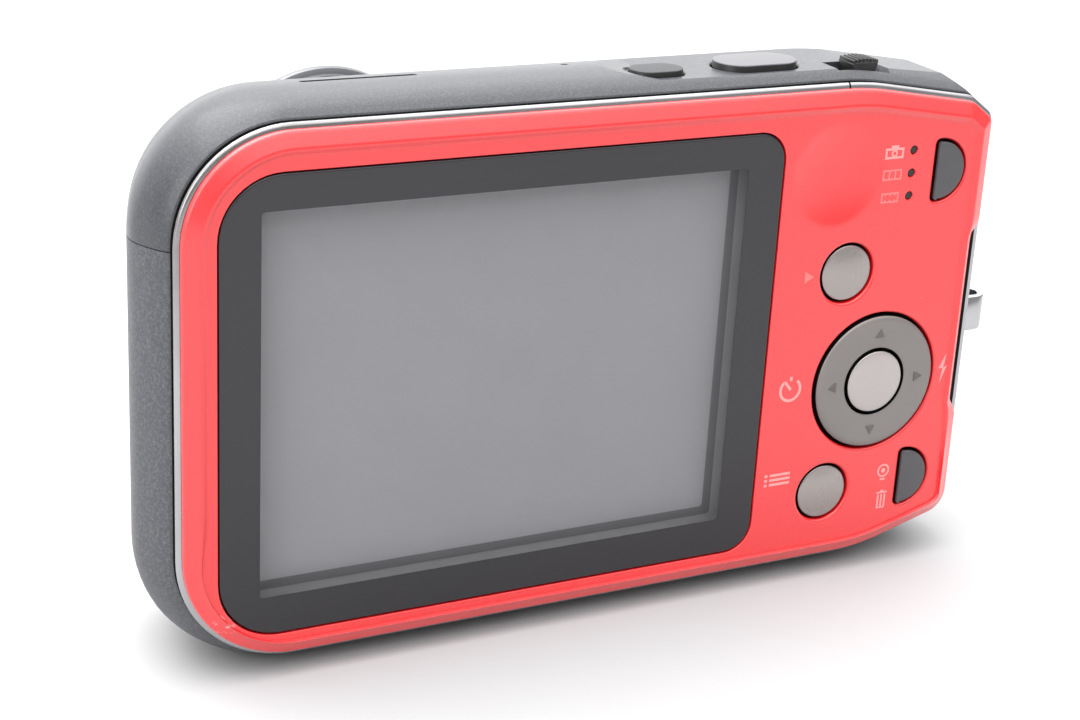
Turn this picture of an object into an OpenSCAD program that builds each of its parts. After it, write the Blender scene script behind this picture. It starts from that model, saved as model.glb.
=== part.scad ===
// Compact digital camera with a folded lens, built as separate pieces.
// +X is to the right of the person holding it, +Y is the way the lens looks, +Z is up.
// The origin is the bottom centre of the whole camera. Millimetres.

/* [Body] */
// Width over the body, without the strap lug
body_w = 102.4; // [96:0.1:110]
// Height of the body, without the buttons
body_h = 61.9; // [56:0.1:70]
// Depth from the rim of the rear cover to the lens ring
body_d = 22.5; // [20:0.1:26]
// Wall thickness of the body shell
wall = 1.6; // [1.2:0.1:2.4]
// How far the strap lug stands out past the body
lug_reach = 1.6; // [1:0.1:6]

/* [Screen] */
// Width of the visible picture (2.7-inch, 4:3)
screen_w = 55.4; // [50:0.1:62]
// Height of the visible picture
screen_h = 41.8; // [37:0.1:47]
// Distance from the camera's left side to the middle of the picture
screen_from_left = 38.8; // [34:0.1:44]
// Depth of the picture behind the glass face
screen_depth = 2.3; // [1:0.1:3]

/* [Controls] */
// Radius of the opening for the control ring
ring_hole_r = 8.5; // [7:0.1:10]
// Radius of the openings for the two round buttons
round_hole_r = 3.6; // [3:0.1:5]
// Radius of the centre button
centre_r = 3.75; // [3:0.05:4]
// Gap round the rear buttons
button_gap = 0.25; // [0.15:0.05:0.4]
// Travel of the rear buttons
button_travel = 0.3; // [0.2:0.05:0.4]

/* [Lens] */
// Outer radius of the ring round the lens window
lens_ring_r = 12; // [10:0.1:14]
// Radius of the lens window
lens_window_r = 7.2; // [5:0.1:9]
// Travel of the zoom group
zoom_travel = 10; // [6:0.5:11]
// Travel of the focus group
focus_travel = 3; // [2:0.1:3.2]

/* [Power and card] */
// Battery width, height and thickness
battery_size = [35.7, 40.5, 5.6];
// Memory card width, height and thickness (standard card)
card_size = [24, 32, 2.1];
// Length of the bottom door
door_l = 48; // [44:0.5:50]

/* [Mounting] */
// Radius of the tripod socket bore (1/4 inch screw)
tripod_r = 3.2; // [3.1:0.05:3.3]
// Depth of the tripod socket
tripod_depth = 5.2; // [4.5:0.1:6]

/* [Hidden] */
$fn = 48;

// Main planes and centres
left_x = -(body_w + lug_reach) / 2;
right_x = left_x + body_w;
back_y = -body_d / 2;
front_y = body_d / 2;
panel_y = back_y + 0.4;                   // flat face of the rear cover, inside its raised rim
screen_x = left_x + screen_from_left;
screen_z = 30.6;
cover_t = 1.0;                            // thickness of the rear cover
shell_y = panel_y + 1.9;                  // where the body shell starts, in front of the trim frame
face_y = front_y - 0.9;                   // front face of the body shell

// Rear controls: centre of each on the rear face
ring_pos = [34.55, 24.2];
playback_pos = [29.1, 38.05];
menu_pos = [28.9, 10.85];
mode_pos = [40.35, 49.3];
help_pos = [40.35, 11.15];
d_hole_r = 3.7;                           // half-round buttons: radius of the round side
d_flat = -0.8;                            // and where the flat side lies, from the centre
lights_x = 36.45;
light_pitch = 2.68;
thumb_pos = [26.35, 49.8];
thumb_r = 5.9;
thumb_depth = 0.7;
ring_pivot_y = panel_y + 2.0;

// Key stack behind the rear cover
mat_y = panel_y + 2.8;
board_y = panel_y + 3.45;

// Top controls: centre of each seen from above
power_pos = [6.0, -4.0];
shutter_pos = [18.8, -3.5];
lever_x = 31;
lever_y = [-7.3, -4.5];
lever_pivot_z = 54;
lever_r = 7.95;
lever_hub_y = -6.3;                       // where the hub starts, clear of the key board
lever_half = 13;                          // half the angle the lever fills
lever_turn = 13;                          // how far it turns each way
lever_pin_r = 0.6;
mic_pos = [-3.5, -0.9];

// Lens
lens_x = left_x + 25.4;
lens_z = 48.4;
axis_y = 2.0;
lens_box = [[lens_x - 10, -4.6, 7], [lens_x + 10, 8.6, 56.6]];
lens_wall = 1.2;
rod_places = [[lens_x - 7, 5.6], [lens_x + 7, -1.6]];
rod_r = 0.6;
slide_gap = 0.05;
screw_x = lens_x - 14;
screw_y = 1.0;
zoom_z = [33, 39];
focus_z = [13.5, 16.2];
group_bore_r = 4.0;

// Battery, card and bottom door
battery_x = -15.2;
battery_y = -4.5;
battery_z = 4.2;
card_x = -9.4;
card_y = 2.5;
card_z = 5.8;
door_x = -21.25;
door_y = [-7.7, 6.4];
door_top = 2.0;
door_gap = 0.15;
hinge_x = door_x + door_l - 1.15;
hinge_z = 1.15;
hinge_y = [-3.6, 6.4];
hinge_r = 1.1;
hinge_pin_r = 0.5;
lock_x = [-21.05, -11.3];
lock_y = [-7.6, -2.7];
lock_travel = 2.5;
tripod_pos = [-28.4, 1.5];

// Each corner of the body outline: centre x, z, radius, first and last angle, steps, side.
// The last two numbers say how a corner too tight for an inset moves inward.
corners = [
  [right_x - 5.7, 8.2, 2.9, -74, 0, 4, 1, 0, 0],
  [right_x - 4.2, 54.2, 1.2, 0, 60, 2, 1, 1, 0.577],
  [right_x - 7.1, 54.1, 3, 60, 80.3, 1, 1, 0, 0],
  [right_x - 23.1, 29.4, 30, 80.3, 90, 2, 1, 0, 0],
  [left_x + 14.55, 47.95, 11.45, 90, 180, 6, -1, 0, 0],
  [left_x + 15.35, 14.8, 12.3, 180, 270, 6, -1, 0, 0],
  [right_x - 18.6, 26.5, 24, 270, 286, 1, 1, 0, 0]
];

// Body cross-section: y, how far it swells past the rear outline, extra to each side, shift in z
body_sections = [
  [shell_y, 0.45, 0, 0],
  [-7.65, 1.45, 0.1, 0],
  [-6.05, 2.15, 0.25, 0],
  [-4.05, 2.5, 0.55, 0],
  [-1.85, 2.5, 0.4, 0],
  [0.65, 2.33, -0.2, -0.17],
  [3.65, 1.95, -0.7, -0.5],
  [6.65, 1.45, -1.2, -0.95],
  [8.95, 0.55, -1.35, -1.25],
  [face_y, -0.9, -1.5, -1.3]
];
cavity_front = 8.95;
cavity_sections = [
  [shell_y - 0.05, 0.4 - wall, 0, 0],
  [-6.5, 2.05 - wall, 0.2, 0],
  [-3.5, 2.5 - wall, 0.4, 0],
  [0.65, 2.33 - wall, -0.2, -0.17],
  [4.5, 1.81 - wall, -0.84, -0.63],
  [cavity_front, 0.55 - wall, -1.35, -1.25]
];

// Flat deck with the top controls, from left to right, and its fall to the right corner
deck_z = 61.05;
deck_line = [
  [-0.5, body_h + 0.05],
  [5, deck_z],
  [31, deck_z],
  [42.5, 59.45],
  [44.6, 57.9],
  [46.3, 56.5],
  [48, 54.8],
  [51, 51.5]
];

function arc_points(x, z, r, a0, a1, n) =
  [for (i = [0 : n]) let (a = a0 + (a1 - a0) * i / n) [x + r * cos(a), z + r * sin(a)]];

function corner_points(c, e, side) =
  let (r = max(c[2] + e, 0.4), d = r - c[2] - e)
  arc_points(c[0] + c[6] * side - d * c[7], c[1] - d * c[8], r, c[3], c[4], c[5]);

// Body outline swollen by e, with its two ends moved out by side
function outline(e, side = 0) = [for (c = corners) each corner_points(c, e, side)];

function section_points(s) = [for (p = outline(s[1], s[2])) [p[0], s[0], p[1] + s[3]]];

// Closed skin through a list of body sections
module loft(sections) {
  n = len(outline(0));
  m = len(sections);
  points = [for (s = sections) each section_points(s)];
  sides = [
    for (i = [0 : m - 2])
      for (j = [0 : n - 1])
        [i * n + j, i * n + (j + 1) % n, (i + 1) * n + (j + 1) % n, (i + 1) * n + j]
  ];
  back = [[for (j = [0 : n - 1]) n - 1 - j]];
  front = [[for (j = [0 : n - 1]) (m - 1) * n + j]];
  polyhedron(points = points, faces = concat(back, sides, front), convexity = 6);
}

// A flat shape in x and z, given a depth from y0 to y1
module slab(y0, y1) {
  translate([0, y1, 0])
    rotate([90, 0, 0])
      linear_extrude(y1 - y0)
        children();
}

// A flat shape in x and y, given a height from z0 to z1
module plate(z0, z1) {
  translate([0, 0, z0])
    linear_extrude(z1 - z0)
      children();
}

module block(low, high) {
  translate(low)
    cube(high - low);
}

module rod_y(p, r, y0, y1) {
  slab(y0, y1)
    translate(p)
      circle(r);
}

module rod_z(p, r, z0, z1) {
  plate(z0, z1)
    translate(p)
      circle(r);
}

module rod_x(y, z, r, x0, x1) {
  translate([x0, y, z])
    rotate([0, 90, 0])
      cylinder(r = r, h = x1 - x0);
}

// Rectangle with round corners, from its low and high corners
module round_rect(low, high, r) {
  polygon(concat(
    arc_points(high[0] - r, low[1] + r, r, 270, 360, 4),
    arc_points(high[0] - r, high[1] - r, r, 0, 90, 4),
    arc_points(low[0] + r, high[1] - r, r, 90, 180, 4),
    arc_points(low[0] + r, low[1] + r, r, 180, 270, 4)
  ));
}

// Oval with two straight sides, w long in x and d across
module oval(p, w, d) {
  translate(p) {
    square([w - d, d], center = true);
    for (side = [-1, 1])
      translate([side * (w - d) / 2, 0])
        circle(d / 2);
  }
}

// Outline of the screen glass: wide corners on the left, tight ones on the right
module glass_outline(grow) {
  x0 = screen_x - 32.1;
  x1 = screen_x + 32.35;
  z0 = screen_z - 25.35;
  z1 = screen_z + 24.7;
  wide = 6.7;
  tight = 3.3;
  polygon(concat(
    arc_points(x1 - tight, z0 + tight, tight + grow, 270, 360, 5),
    arc_points(x1 - tight, z1 - tight, tight + grow, 0, 90, 5),
    arc_points(x0 + wide, z1 - wide, wide + grow, 90, 180, 8),
    arc_points(x0 + wide, z0 + wide, wide + grow, 180, 270, 8)
  ));
}

// Half-round button outline with its flat side to the left
module d_outline(p, grow) {
  translate(p)
    intersection() {
      circle(d_hole_r + grow);
      translate([d_flat - grow, -d_hole_r - grow])
        square([2 * d_hole_r + 2 * grow, 2 * (d_hole_r + grow)]);
    }
}

// Every opening for the keys, larger or smaller by grow
module key_outlines(grow) {
  translate(playback_pos)
    circle(round_hole_r + grow);
  translate(menu_pos)
    circle(round_hole_r + grow);
  d_outline(mode_pos, grow);
  d_outline(help_pos, grow);
}

module lights_outline(r) {
  for (i = [-1, 0, 1])
    translate([lights_x, mode_pos[1] + i * light_pitch])
      circle(r);
}

// Rear: cover, trim, screen ---------------------------------------------------

// Red rear cover with its raised sloping rim
module rear_cover() {
  rim_in = 1.7;
  notch_z = [18, 43];
  color([0.95, 0.28, 0.3])
    difference() {
      loft([
        [back_y, -rim_in, 0, 0],
        [panel_y + 0.35, -0.35, 0, 0],
        [panel_y + 0.6, 0, 0, 0],
        [panel_y + cover_t, 0, 0, 0]
      ]);
      slab(back_y - 1, panel_y)
        polygon(outline(-rim_in - 0.15));
      slab(back_y - 1, panel_y + 2)
        glass_outline(0.15);
      slab(back_y - 1, panel_y + 2)
        key_outlines(0);
      rod_y(ring_pos, ring_hole_r, back_y - 1, panel_y + 2);
      slab(back_y - 1, panel_y + 2)
        lights_outline(0.5);
      thumb_ball = (thumb_r * thumb_r + thumb_depth * thumb_depth) / 2 / thumb_depth;
      translate([thumb_pos[0], panel_y + thumb_depth - thumb_ball, thumb_pos[1]])
        sphere(r = thumb_ball, $fn = 96);
      slab(back_y - 1, panel_y + 2)
        polygon([
          [right_x - 2.0, notch_z[0] - 1],
          [right_x - 3.9, notch_z[0]],
          [right_x - 3.9, notch_z[1]],
          [right_x - 2.0, notch_z[1] + 1]
        ]);
    }
}

// Bright frame between the rear cover and the body
module trim_frame() {
  color([0.8, 0.8, 0.82])
    difference() {
      loft([
        [panel_y + cover_t, 0.25, 0, 0],
        [shell_y, 0.45, 0, 0]
      ]);
      slab(back_y, panel_y + 3)
        polygon(outline(-2.3));
      lug_shape(0.05);
    }
}

module screen_glass() {
  color([0.2, 0.2, 0.21])
    slab(panel_y, panel_y + 0.8)
      glass_outline(0);
}

// Frame that spaces the display from the glass
module lcd_bezel() {
  edge = 1.5;
  color([0.3, 0.3, 0.3])
    slab(panel_y + 0.85, panel_y + screen_depth - 0.05)
      difference() {
        round_rect(
          [screen_x - screen_w / 2 - edge - 1.5, screen_z - screen_h / 2 - edge - 1.5],
          [screen_x + screen_w / 2 + edge + 1.5, screen_z + screen_h / 2 + edge + 1.5],
          5
        );
        translate([screen_x, screen_z])
          square([screen_w + 2 * edge, screen_h + 2 * edge], center = true);
      }
}

module lcd_panel() {
  color([0.58, 0.58, 0.6])
    slab(panel_y + screen_depth, panel_y + screen_depth + 1.3)
      translate([screen_x, screen_z])
        square([screen_w + 5, screen_h + 5], center = true);
}

module backlight() {
  color([0.9, 0.9, 0.88])
    slab(panel_y + screen_depth + 1.35, panel_y + 4.9)
      translate([screen_x, screen_z])
        square([screen_w + 4, screen_h + 4.4], center = true);
}

// Metal plate between the rear parts and the parts in the middle
module chassis() {
  color([0.75, 0.76, 0.78])
    slab(panel_y + 5.0, panel_y + 5.5)
      difference() {
        round_rect([left_x + 4.5, 4.5], [right_x - 4.5, 55.5], 10);
        square([35.6, 20], center = true);
        translate([lever_x - 6.5, 48])
          square([40, 20]);
        for (p = [[-40, 20], [-40, 40], [0, 52.5], [24, 30]])
          translate(p)
            circle(2);
      }
}

// Rear keys --------------------------------------------------------------------

// Rubber mat that seals behind the keys
module key_mat() {
  color([0.15, 0.15, 0.15])
    slab(mat_y, mat_y + 0.3)
      difference() {
        round_rect([24.2, 5.8], [45.2, 54.8], 2);
        lights_outline(0.6);
      }
}

module key_board() {
  color([0.1, 0.35, 0.2])
    slab(board_y, board_y + 0.75)
      round_rect([24, 5.5], [45.4, 55], 2);
}

// Snap domes: one under each key and four under the control ring
module key_domes() {
  ring_reach = 6.3;
  places = concat(
    [playback_pos, menu_pos, ring_pos, mode_pos + [1, 0], help_pos + [1, 0]],
    [for (a = [0 : 90 : 270]) ring_pos + ring_reach * [cos(a), sin(a)]]
  );
  color([0.85, 0.85, 0.86])
    for (p = places)
      rod_y(p, 1.6, board_y - 0.3, board_y);
}

// Light guides for the three shooting modes
module mode_lights() {
  color([0.12, 0.12, 0.12])
    slab(panel_y + 0.15, board_y - 0.05)
      lights_outline(0.42);
}

// Flange and stem that every rear key has behind the cover
module key_foot(p) {
  rod_y(p, 0.9, panel_y + 1.6, mat_y - button_travel - 0.1);
}

module round_key(p) {
  r = round_hole_r - button_gap;
  slab(panel_y - 0.25, panel_y + 1.2)
    translate(p)
      circle(r);
  slab(panel_y + 1.15, panel_y + 1.7)
    translate(p)
      circle(r + 0.65);
  key_foot(p);
}

module half_round_key(p) {
  slab(panel_y - 0.25, panel_y + 1.2)
    d_outline(p, -button_gap);
  slab(panel_y + 1.15, panel_y + 1.7)
    d_outline(p, 0.4);
  key_foot(p + [1, 0]);
}

module mode_button() {
  color([0.35, 0.35, 0.35])
    half_round_key(mode_pos);
}

module playback_button() {
  color([0.55, 0.54, 0.52])
    round_key(playback_pos);
}

module menu_button() {
  color([0.55, 0.54, 0.52])
    round_key(menu_pos);
}

module help_button() {
  color([0.35, 0.35, 0.35])
    half_round_key(help_pos);
}

// Four-way ring round the centre button
module control_ring() {
  color([0.5, 0.49, 0.48])
    difference() {
      union() {
        rod_y(ring_pos, ring_hole_r - button_gap, panel_y - 0.35, ring_pivot_y);
        rod_y(ring_pos, ring_hole_r + 0.7, panel_y + 1.55, ring_pivot_y);
      }
      rod_y(ring_pos, centre_r + 0.4, back_y - 1, ring_pivot_y + 1);
    }
}

// Washer that the ring rocks on
module ring_rocker() {
  color([0.7, 0.7, 0.7])
    slab(ring_pivot_y + 0.22, ring_pivot_y + 0.45)
      translate(ring_pos)
        difference() {
          circle(5.0);
          circle(centre_r + 0.45);
        }
}

module centre_button() {
  color([0.7, 0.69, 0.68])
    union() {
      rod_y(ring_pos, centre_r, back_y, panel_y + 1.9);
      rod_y(ring_pos, 1.0, panel_y + 1.9, mat_y - button_travel - 0.1);
    }
}

// Body shell -------------------------------------------------------------------

seam_z = 47.6;
seam_x = left_x + 18.8;
split_y = 7.5;

// Everything above the deck, lowered by drop
module above_deck(drop) {
  first = deck_line[0][0];
  last = deck_line[len(deck_line) - 1];
  slab(back_y, split_y)
    translate([0, -drop])
      polygon(concat(
        deck_line,
        [[last[0] + 2, last[1]], [last[0] + 2, body_h + 5], [first, body_h + 5]]
      ));
}

module shell_all() {
  difference() {
    loft(body_sections);
    above_deck(0);
    difference() {
      loft(cavity_sections);
      above_deck(wall - 0.4);
    }
  }
}

module top_cover() {
  color([0.36, 0.37, 0.39])
    difference() {
      intersection() {
        shell_all();
        block([left_x - 1, back_y, seam_z], [right_x + 1, split_y, body_h + 2]);
      }
      plate(50, body_h + 2)
        oval(power_pos, 6.6, 4.4);
      plate(50, body_h + 2)
        oval(shutter_pos, 10.4, 6.0);
      zoom_slot();
      block([lens_x - 7.1, -1.85, 55], [lens_x + 5.6, -1.15, body_h + 2]);
      rod_z(mic_pos, 0.4, 55, body_h + 2);
    }
}

// Left side section, below the top cover's seam
module side_cover() {
  color([0.36, 0.37, 0.39])
    difference() {
      intersection() {
        shell_all();
        block([left_x - 1, back_y, -1], [seam_x, split_y, seam_z]);
      }
      block([left_x - 1, -1.2, 26.6], [left_x + 1.6, 0.4, 32.6]);
    }
}

module front_shell() {
  color([0.34, 0.35, 0.37])
    union() {
      front_shell_skin();
      hinge_stubs();
    }
}

// Moulded pivots that reach into both ends of the door's bore
module hinge_stubs() {
  reach = 1.5;
  rod_y([hinge_x, hinge_z], hinge_pin_r, hinge_y[0] - 0.8, hinge_y[0] + reach);
  rod_y([hinge_x, hinge_z], hinge_pin_r, hinge_y[1] - reach, hinge_y[1] + 0.8);
}

module front_shell_skin() {
  difference() {
    shell_all();
    block([left_x - 1, back_y, seam_z], [right_x + 1, split_y, body_h + 2]);
    block([left_x - 1, back_y, -1], [seam_x, split_y, seam_z]);
    door_area(door_gap);
    rod_z(tripod_pos, 4.6, -1, 6);
    rod_y([lens_x, lens_z], lens_ring_r + 0.05, 8.7, front_y + 1);
    rod_y([lens_x, lens_z], lens_window_r, split_y, front_y);
    block([2, 8.5, 46.0], [15, front_y, 53.0]);
    rod_y([21, 49.5], 2.0, 8, front_y);
    lug_shape(0.05);
    rod_z([right_x + 1, -6.7], 2.2, 24, 37);
  }
}

module front_plate() {
  color([0.95, 0.28, 0.3])
    difference() {
      loft([
        [face_y, -1.4, -1.5, -1.3],
        [face_y + 0.65, -1.9, -1.5, -1.3]
      ]);
      rod_y([lens_x, lens_z], lens_ring_r + 0.1, 8, front_y + 1);
      block([2, 8, 46.0], [15, front_y, 53.0]);
      rod_y([21, 49.5], 2.0, 8, front_y);
    }
}

module lens_ring() {
  color([0.3, 0.3, 0.32])
    difference() {
      rod_y([lens_x, lens_z], lens_ring_r, 8.75, front_y);
      rod_y([lens_x, lens_z], lens_window_r, 8, front_y + 1);
    }
}

module lens_window() {
  color([0.1, 0.1, 0.15])
    rod_y([lens_x, lens_z], lens_window_r, 9.5, 10.3);
}

// Bottom door ------------------------------------------------------------------

module door_area(gap) {
  block([door_x - gap, door_y[0] - gap, -1], [hinge_x - 3.6, door_y[1] + gap, 6]);
  block([hinge_x - 4, hinge_y[0] - gap, -1], [hinge_x + hinge_r + gap + 0.05, hinge_y[1] + gap, 6]);
}

module battery_door() {
  color([0.3, 0.31, 0.33])
    difference() {
      union() {
        intersection() {
          loft(body_sections);
          block([door_x, door_y[0], -1], [hinge_x - 3.75, door_y[1], door_top]);
        }
        block([hinge_x - 3.8, hinge_y[0], 0.05], [hinge_x, hinge_y[1], door_top]);
        rod_y([hinge_x, hinge_z], hinge_r, hinge_y[0], hinge_y[1]);
      }
      rod_y([hinge_x, hinge_z], hinge_pin_r + slide_gap, hinge_y[0] - 1, hinge_y[1] + 1);
      block(
        [lock_x[0] - 1, lock_y[0] - 1, -1],
        [lock_x[1] + lock_travel + 0.2, lock_y[1] + 0.15, door_top + 1]
      );
    }
}

// Rubber seal on the inside of the door
module door_seal() {
  color([0.85, 0.35, 0.15])
    plate(door_top, door_top + 0.8)
      difference() {
        round_rect([-17.2, -2.3], [hinge_x - 4.2, 5.6], 2);
        round_rect([-16.0, -1.1], [hinge_x - 5.4, 4.4], 1);
      }
}

// Black sliding lock at the free end of the door
module door_lock() {
  color([0.05, 0.05, 0.05])
    intersection() {
      loft(body_sections);
      block([lock_x[0], lock_y[0], -1], [lock_x[1], lock_y[1], door_top - 0.1]);
    }
}

module tripod_socket() {
  color([0.75, 0.73, 0.68])
    difference() {
      rod_z(tripod_pos, 4.6, 0.05, tripod_depth + 0.9);
      rod_z(tripod_pos, tripod_r, -1, 0.05 + tripod_depth);
    }
}

// U-shaped strip for the wrist strap, with its two legs in the shell
module lug_shape(gap) {
  mid_y = -6.7;
  outer = 1.9;
  strip = 0.8;
  tip = right_x + lug_reach - outer;
  plate(28 - gap, 32.3 + gap)
    difference() {
      union() {
        translate([tip, mid_y])
          circle(outer + gap);
        translate([right_x - 3.2, mid_y - outer - gap])
          square([tip - right_x + 3.2, 2 * (outer + gap)]);
      }
      translate([tip, mid_y])
        circle(outer - strip - gap);
      translate([right_x - 4, mid_y - outer + strip + gap])
        square([tip - right_x + 4, 2 * (outer - strip - gap)]);
    }
}

module strap_lug() {
  color([0.8, 0.8, 0.8])
    lug_shape(0);
}

// Top controls -----------------------------------------------------------------

top_board_z = 56.2;

module power_button() {
  color([0.5, 0.51, 0.53])
    union() {
      plate(58.9, 61.7)
        oval(power_pos, 6.2, 4.0);
      plate(58.5, 59.0)
        oval(power_pos, 7.8, 4.0);
      rod_z(power_pos, 0.8, 57.75, 58.6);
    }
}

module shutter_button() {
  color([0.6, 0.61, 0.63])
    union() {
      plate(58.9, 61.9)
        oval(shutter_pos, 10, 5.6);
      plate(58.5, 59.0)
        oval(shutter_pos, 11.6, 5.6);
      rod_z(shutter_pos, 0.8, 58.1, 58.6);
    }
}

// Fan shape in x and z round the zoom lever's axle
module fan(r0, r1, half) {
  translate([lever_x, lever_pivot_z])
    polygon(concat(
      arc_points(0, 0, r1, 90 - half, 90 + half, 8),
      arc_points(0, 0, r0, 90 + half, 90 - half, 8)
    ));
}

module zoom_slot() {
  slab(lever_y[0] - 0.25, lever_y[1] + 0.25)
    fan(3, 14, lever_half + lever_turn + 2);
}

module zoom_lever() {
  color([0.06, 0.06, 0.06])
    difference() {
      union() {
        slab(lever_y[0], lever_y[1])
          fan(2.4, lever_r, lever_half);
        slab(lever_hub_y, lever_y[1])
          fan(0.4, 2.5, lever_half);
        rod_y([lever_x, lever_pivot_z], 1.3, lever_hub_y, lever_y[1]);
      }
      rod_y([lever_x, lever_pivot_z], lever_pin_r + slide_gap, lever_y[0] - 1, lever_y[1] + 1);
    }
}

// Bracket with the axle of the zoom lever
module lever_bracket() {
  color([0.75, 0.76, 0.78])
    union() {
      rod_y([lever_x, lever_pivot_z], lever_pin_r, lever_hub_y - 0.1, lever_y[1] + 0.6);
      block([lever_x - 2.2, lever_y[1] + 0.5, 52], [lever_x + 2.2, lever_y[1] + 1.1, top_board_z - 0.05]);
    }
}

module switch_board() {
  color([0.1, 0.35, 0.2])
    union() {
      plate(top_board_z, top_board_z + 0.6)
        difference() {
          round_rect([2, -6], [36, 1.2], 1);
          translate([lever_x - 4.2, lever_y[0] - 0.5])
            square([8.4, lever_y[1] - lever_y[0] + 0.9]);
        }
      for (p = [power_pos, shutter_pos])
        rod_z(p, 1.8, top_board_z + 0.6, top_board_z + 0.85);
    }
}

module speaker() {
  color([0.15, 0.15, 0.16])
    block([lens_x - 7, -4.1, 57.0], [lens_x + 5.6, 1.1, 58.4]);
}

module microphone() {
  color([0.7, 0.7, 0.68])
    rod_z(mic_pos, 2, 57.0, 58.8);
}

// Flash and focus lamp -----------------------------------------------------------

module flash_window() {
  color([0.9, 0.9, 0.92])
    block([2.05, 9.1, 46.05], [14.95, 11.0, 52.95]);
}

module flash_reflector() {
  color([0.85, 0.85, 0.87])
    difference() {
      block([2.6, 4.6, 46.6], [14.4, 8.9, 52.4]);
      translate([3.2, 9.0, 49.5])
        rotate([0, 90, 0])
          cylinder(r = 2.6, h = 10.6);
    }
}

module flash_tube() {
  color([0.9, 0.92, 0.95])
    rod_x(7.6, 49.5, 0.9, 3.3, 13.7);
}

module flash_capacitor() {
  color([0.1, 0.1, 0.12])
    rod_z([37.5, -1.9], 3.2, 14, 40);
}

module af_lamp() {
  color([0.9, 0.5, 0.2])
    rod_y([21, 49.5], 1.95, 8.2, 10.95);
}

// Lens unit ----------------------------------------------------------------------

module lens_housing() {
  low = lens_box[0];
  high = lens_box[1];
  w = [lens_wall, lens_wall, lens_wall];
  color([0.12, 0.12, 0.13])
    difference() {
      block(low, high);
      block(low + w, high - w);
      rod_y([lens_x, lens_z], 6.2, high[1] - 2, high[1] + 1);
      block([low[0] - 1, -1.6, 9.8], [low[0] + 2, 3.6, 41.5]);
    }
}

// Right-angle prism that turns the light downward
module prism() {
  color([0.8, 0.85, 0.9])
    translate([lens_x - 5.5, 0, 0])
      rotate([90, 0, 90])
        linear_extrude(11)
          polygon([[7.2, 43.3], [7.2, 53.7], [-3.2, 43.3]]);
}

// A moving frame on the two guide rods, with an arm to its lead screw
module carrier(z, screw_r) {
  difference() {
    union() {
      block([lens_x - 8.4, -3.2, z[0]], [lens_x + 8.4, 7.2, z[1]]);
      block([screw_x - 1.8, -0.9, z[0]], [lens_x - 8.3, 2.9, z[1]]);
    }
    rod_z([lens_x, axis_y], group_bore_r + 0.02, z[0] - 1, z[1] + 1);
    for (p = rod_places)
      rod_z(p, rod_r + slide_gap, z[0] - 1, z[1] + 1);
    rod_z([screw_x, screw_y], screw_r + slide_gap, z[0] - 1, z[1] + 1);
  }
}

zoom_screw_r = 0.8;
focus_screw_r = 0.6;

module zoom_carrier() {
  color([0.1, 0.1, 0.1])
    carrier(zoom_z, zoom_screw_r);
}

module zoom_lens() {
  color([0.7, 0.8, 0.85])
    rod_z([lens_x, axis_y], group_bore_r, zoom_z[0] + 0.4, zoom_z[1] - 0.4);
}

module focus_carrier() {
  color([0.1, 0.1, 0.1])
    carrier(focus_z, focus_screw_r);
}

module focus_lens() {
  color([0.7, 0.8, 0.85])
    rod_z([lens_x, axis_y], group_bore_r, focus_z[0] + 0.3, focus_z[1] - 0.3);
}

module guide_rods() {
  color([0.8, 0.8, 0.82])
    for (p = rod_places)
      rod_z(p, rod_r, 8.2, 42.5);
}

module zoom_screw() {
  color([0.8, 0.75, 0.6])
    rod_z([screw_x, screw_y], zoom_screw_r, 17.6, 42.4);
}

module zoom_motor() {
  color([0.7, 0.7, 0.72])
    rod_z([screw_x, screw_y], 3.0, 42.5, 50.5);
}

module focus_screw() {
  color([0.8, 0.75, 0.6])
    rod_z([screw_x, screw_y], focus_screw_r, 9.6, 17.2);
}

module focus_motor() {
  color([0.7, 0.7, 0.72])
    rod_z([screw_x, screw_y], 2.6, 3.9, 9.5);
}

module image_sensor() {
  color([0.2, 0.25, 0.35])
    union() {
      block([lens_x - 6, -2.4, 8.2], [lens_x + 6, 6.4, 9.2]);
      block([lens_x - 3.1, axis_y - 2.3, 9.2], [lens_x + 3.1, axis_y + 2.3, 9.6]);
    }
}

// Electronics and power ------------------------------------------------------------

// L-shaped board with its soldered parts
module main_board() {
  board = [1.9, 2.7];
  color([0.08, 0.3, 0.18])
    union() {
      slab(board[0], board[1])
        polygon([[27, 10], [44, 10], [44, 53], [24, 54.5], [-14, 54.5], [-14, 46.2], [27, 46.2]]);
      block([29, board[1], 27], [41, board[1] + 1.4, 39]);
      block([29.5, board[1], 43], [38, board[1] + 1.2, 50]);
      block([30, board[1], 13], [40, board[1] + 1.2, 23]);
      block([-11, board[1], 47.5], [-3, board[1] + 1.2, 53]);
    }
}

module battery_box() {
  b = battery_size;
  gap = 0.1;
  side = 0.7;
  low = [battery_x - gap, battery_y - gap, battery_z];
  high = [battery_x + b[0] + gap, battery_y + b[2] + gap, battery_z + b[1] + 0.2];
  color([0.1, 0.1, 0.1])
    difference() {
      block(low - [side, side, 0], high + [side, side, 0.8]);
      block(low - [0, 0, 1], high);
    }
}

module battery() {
  b = battery_size;
  color([0.2, 0.22, 0.28])
    block(
      [battery_x, battery_y, battery_z],
      [battery_x + b[0], battery_y + b[2], battery_z + b[1]]
    );
}

// Sliding catch that holds the battery in
module battery_catch() {
  edge = battery_x + battery_size[0];
  color([0.2, 0.45, 0.75])
    union() {
      block([edge - 1.2, -2, battery_z - 0.9], [edge + 2.9, 0, battery_z - 0.15]);
      block([edge + 1.1, -2, battery_z - 0.2], [edge + 2.9, 0, battery_z + 3.8]);
    }
}

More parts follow.
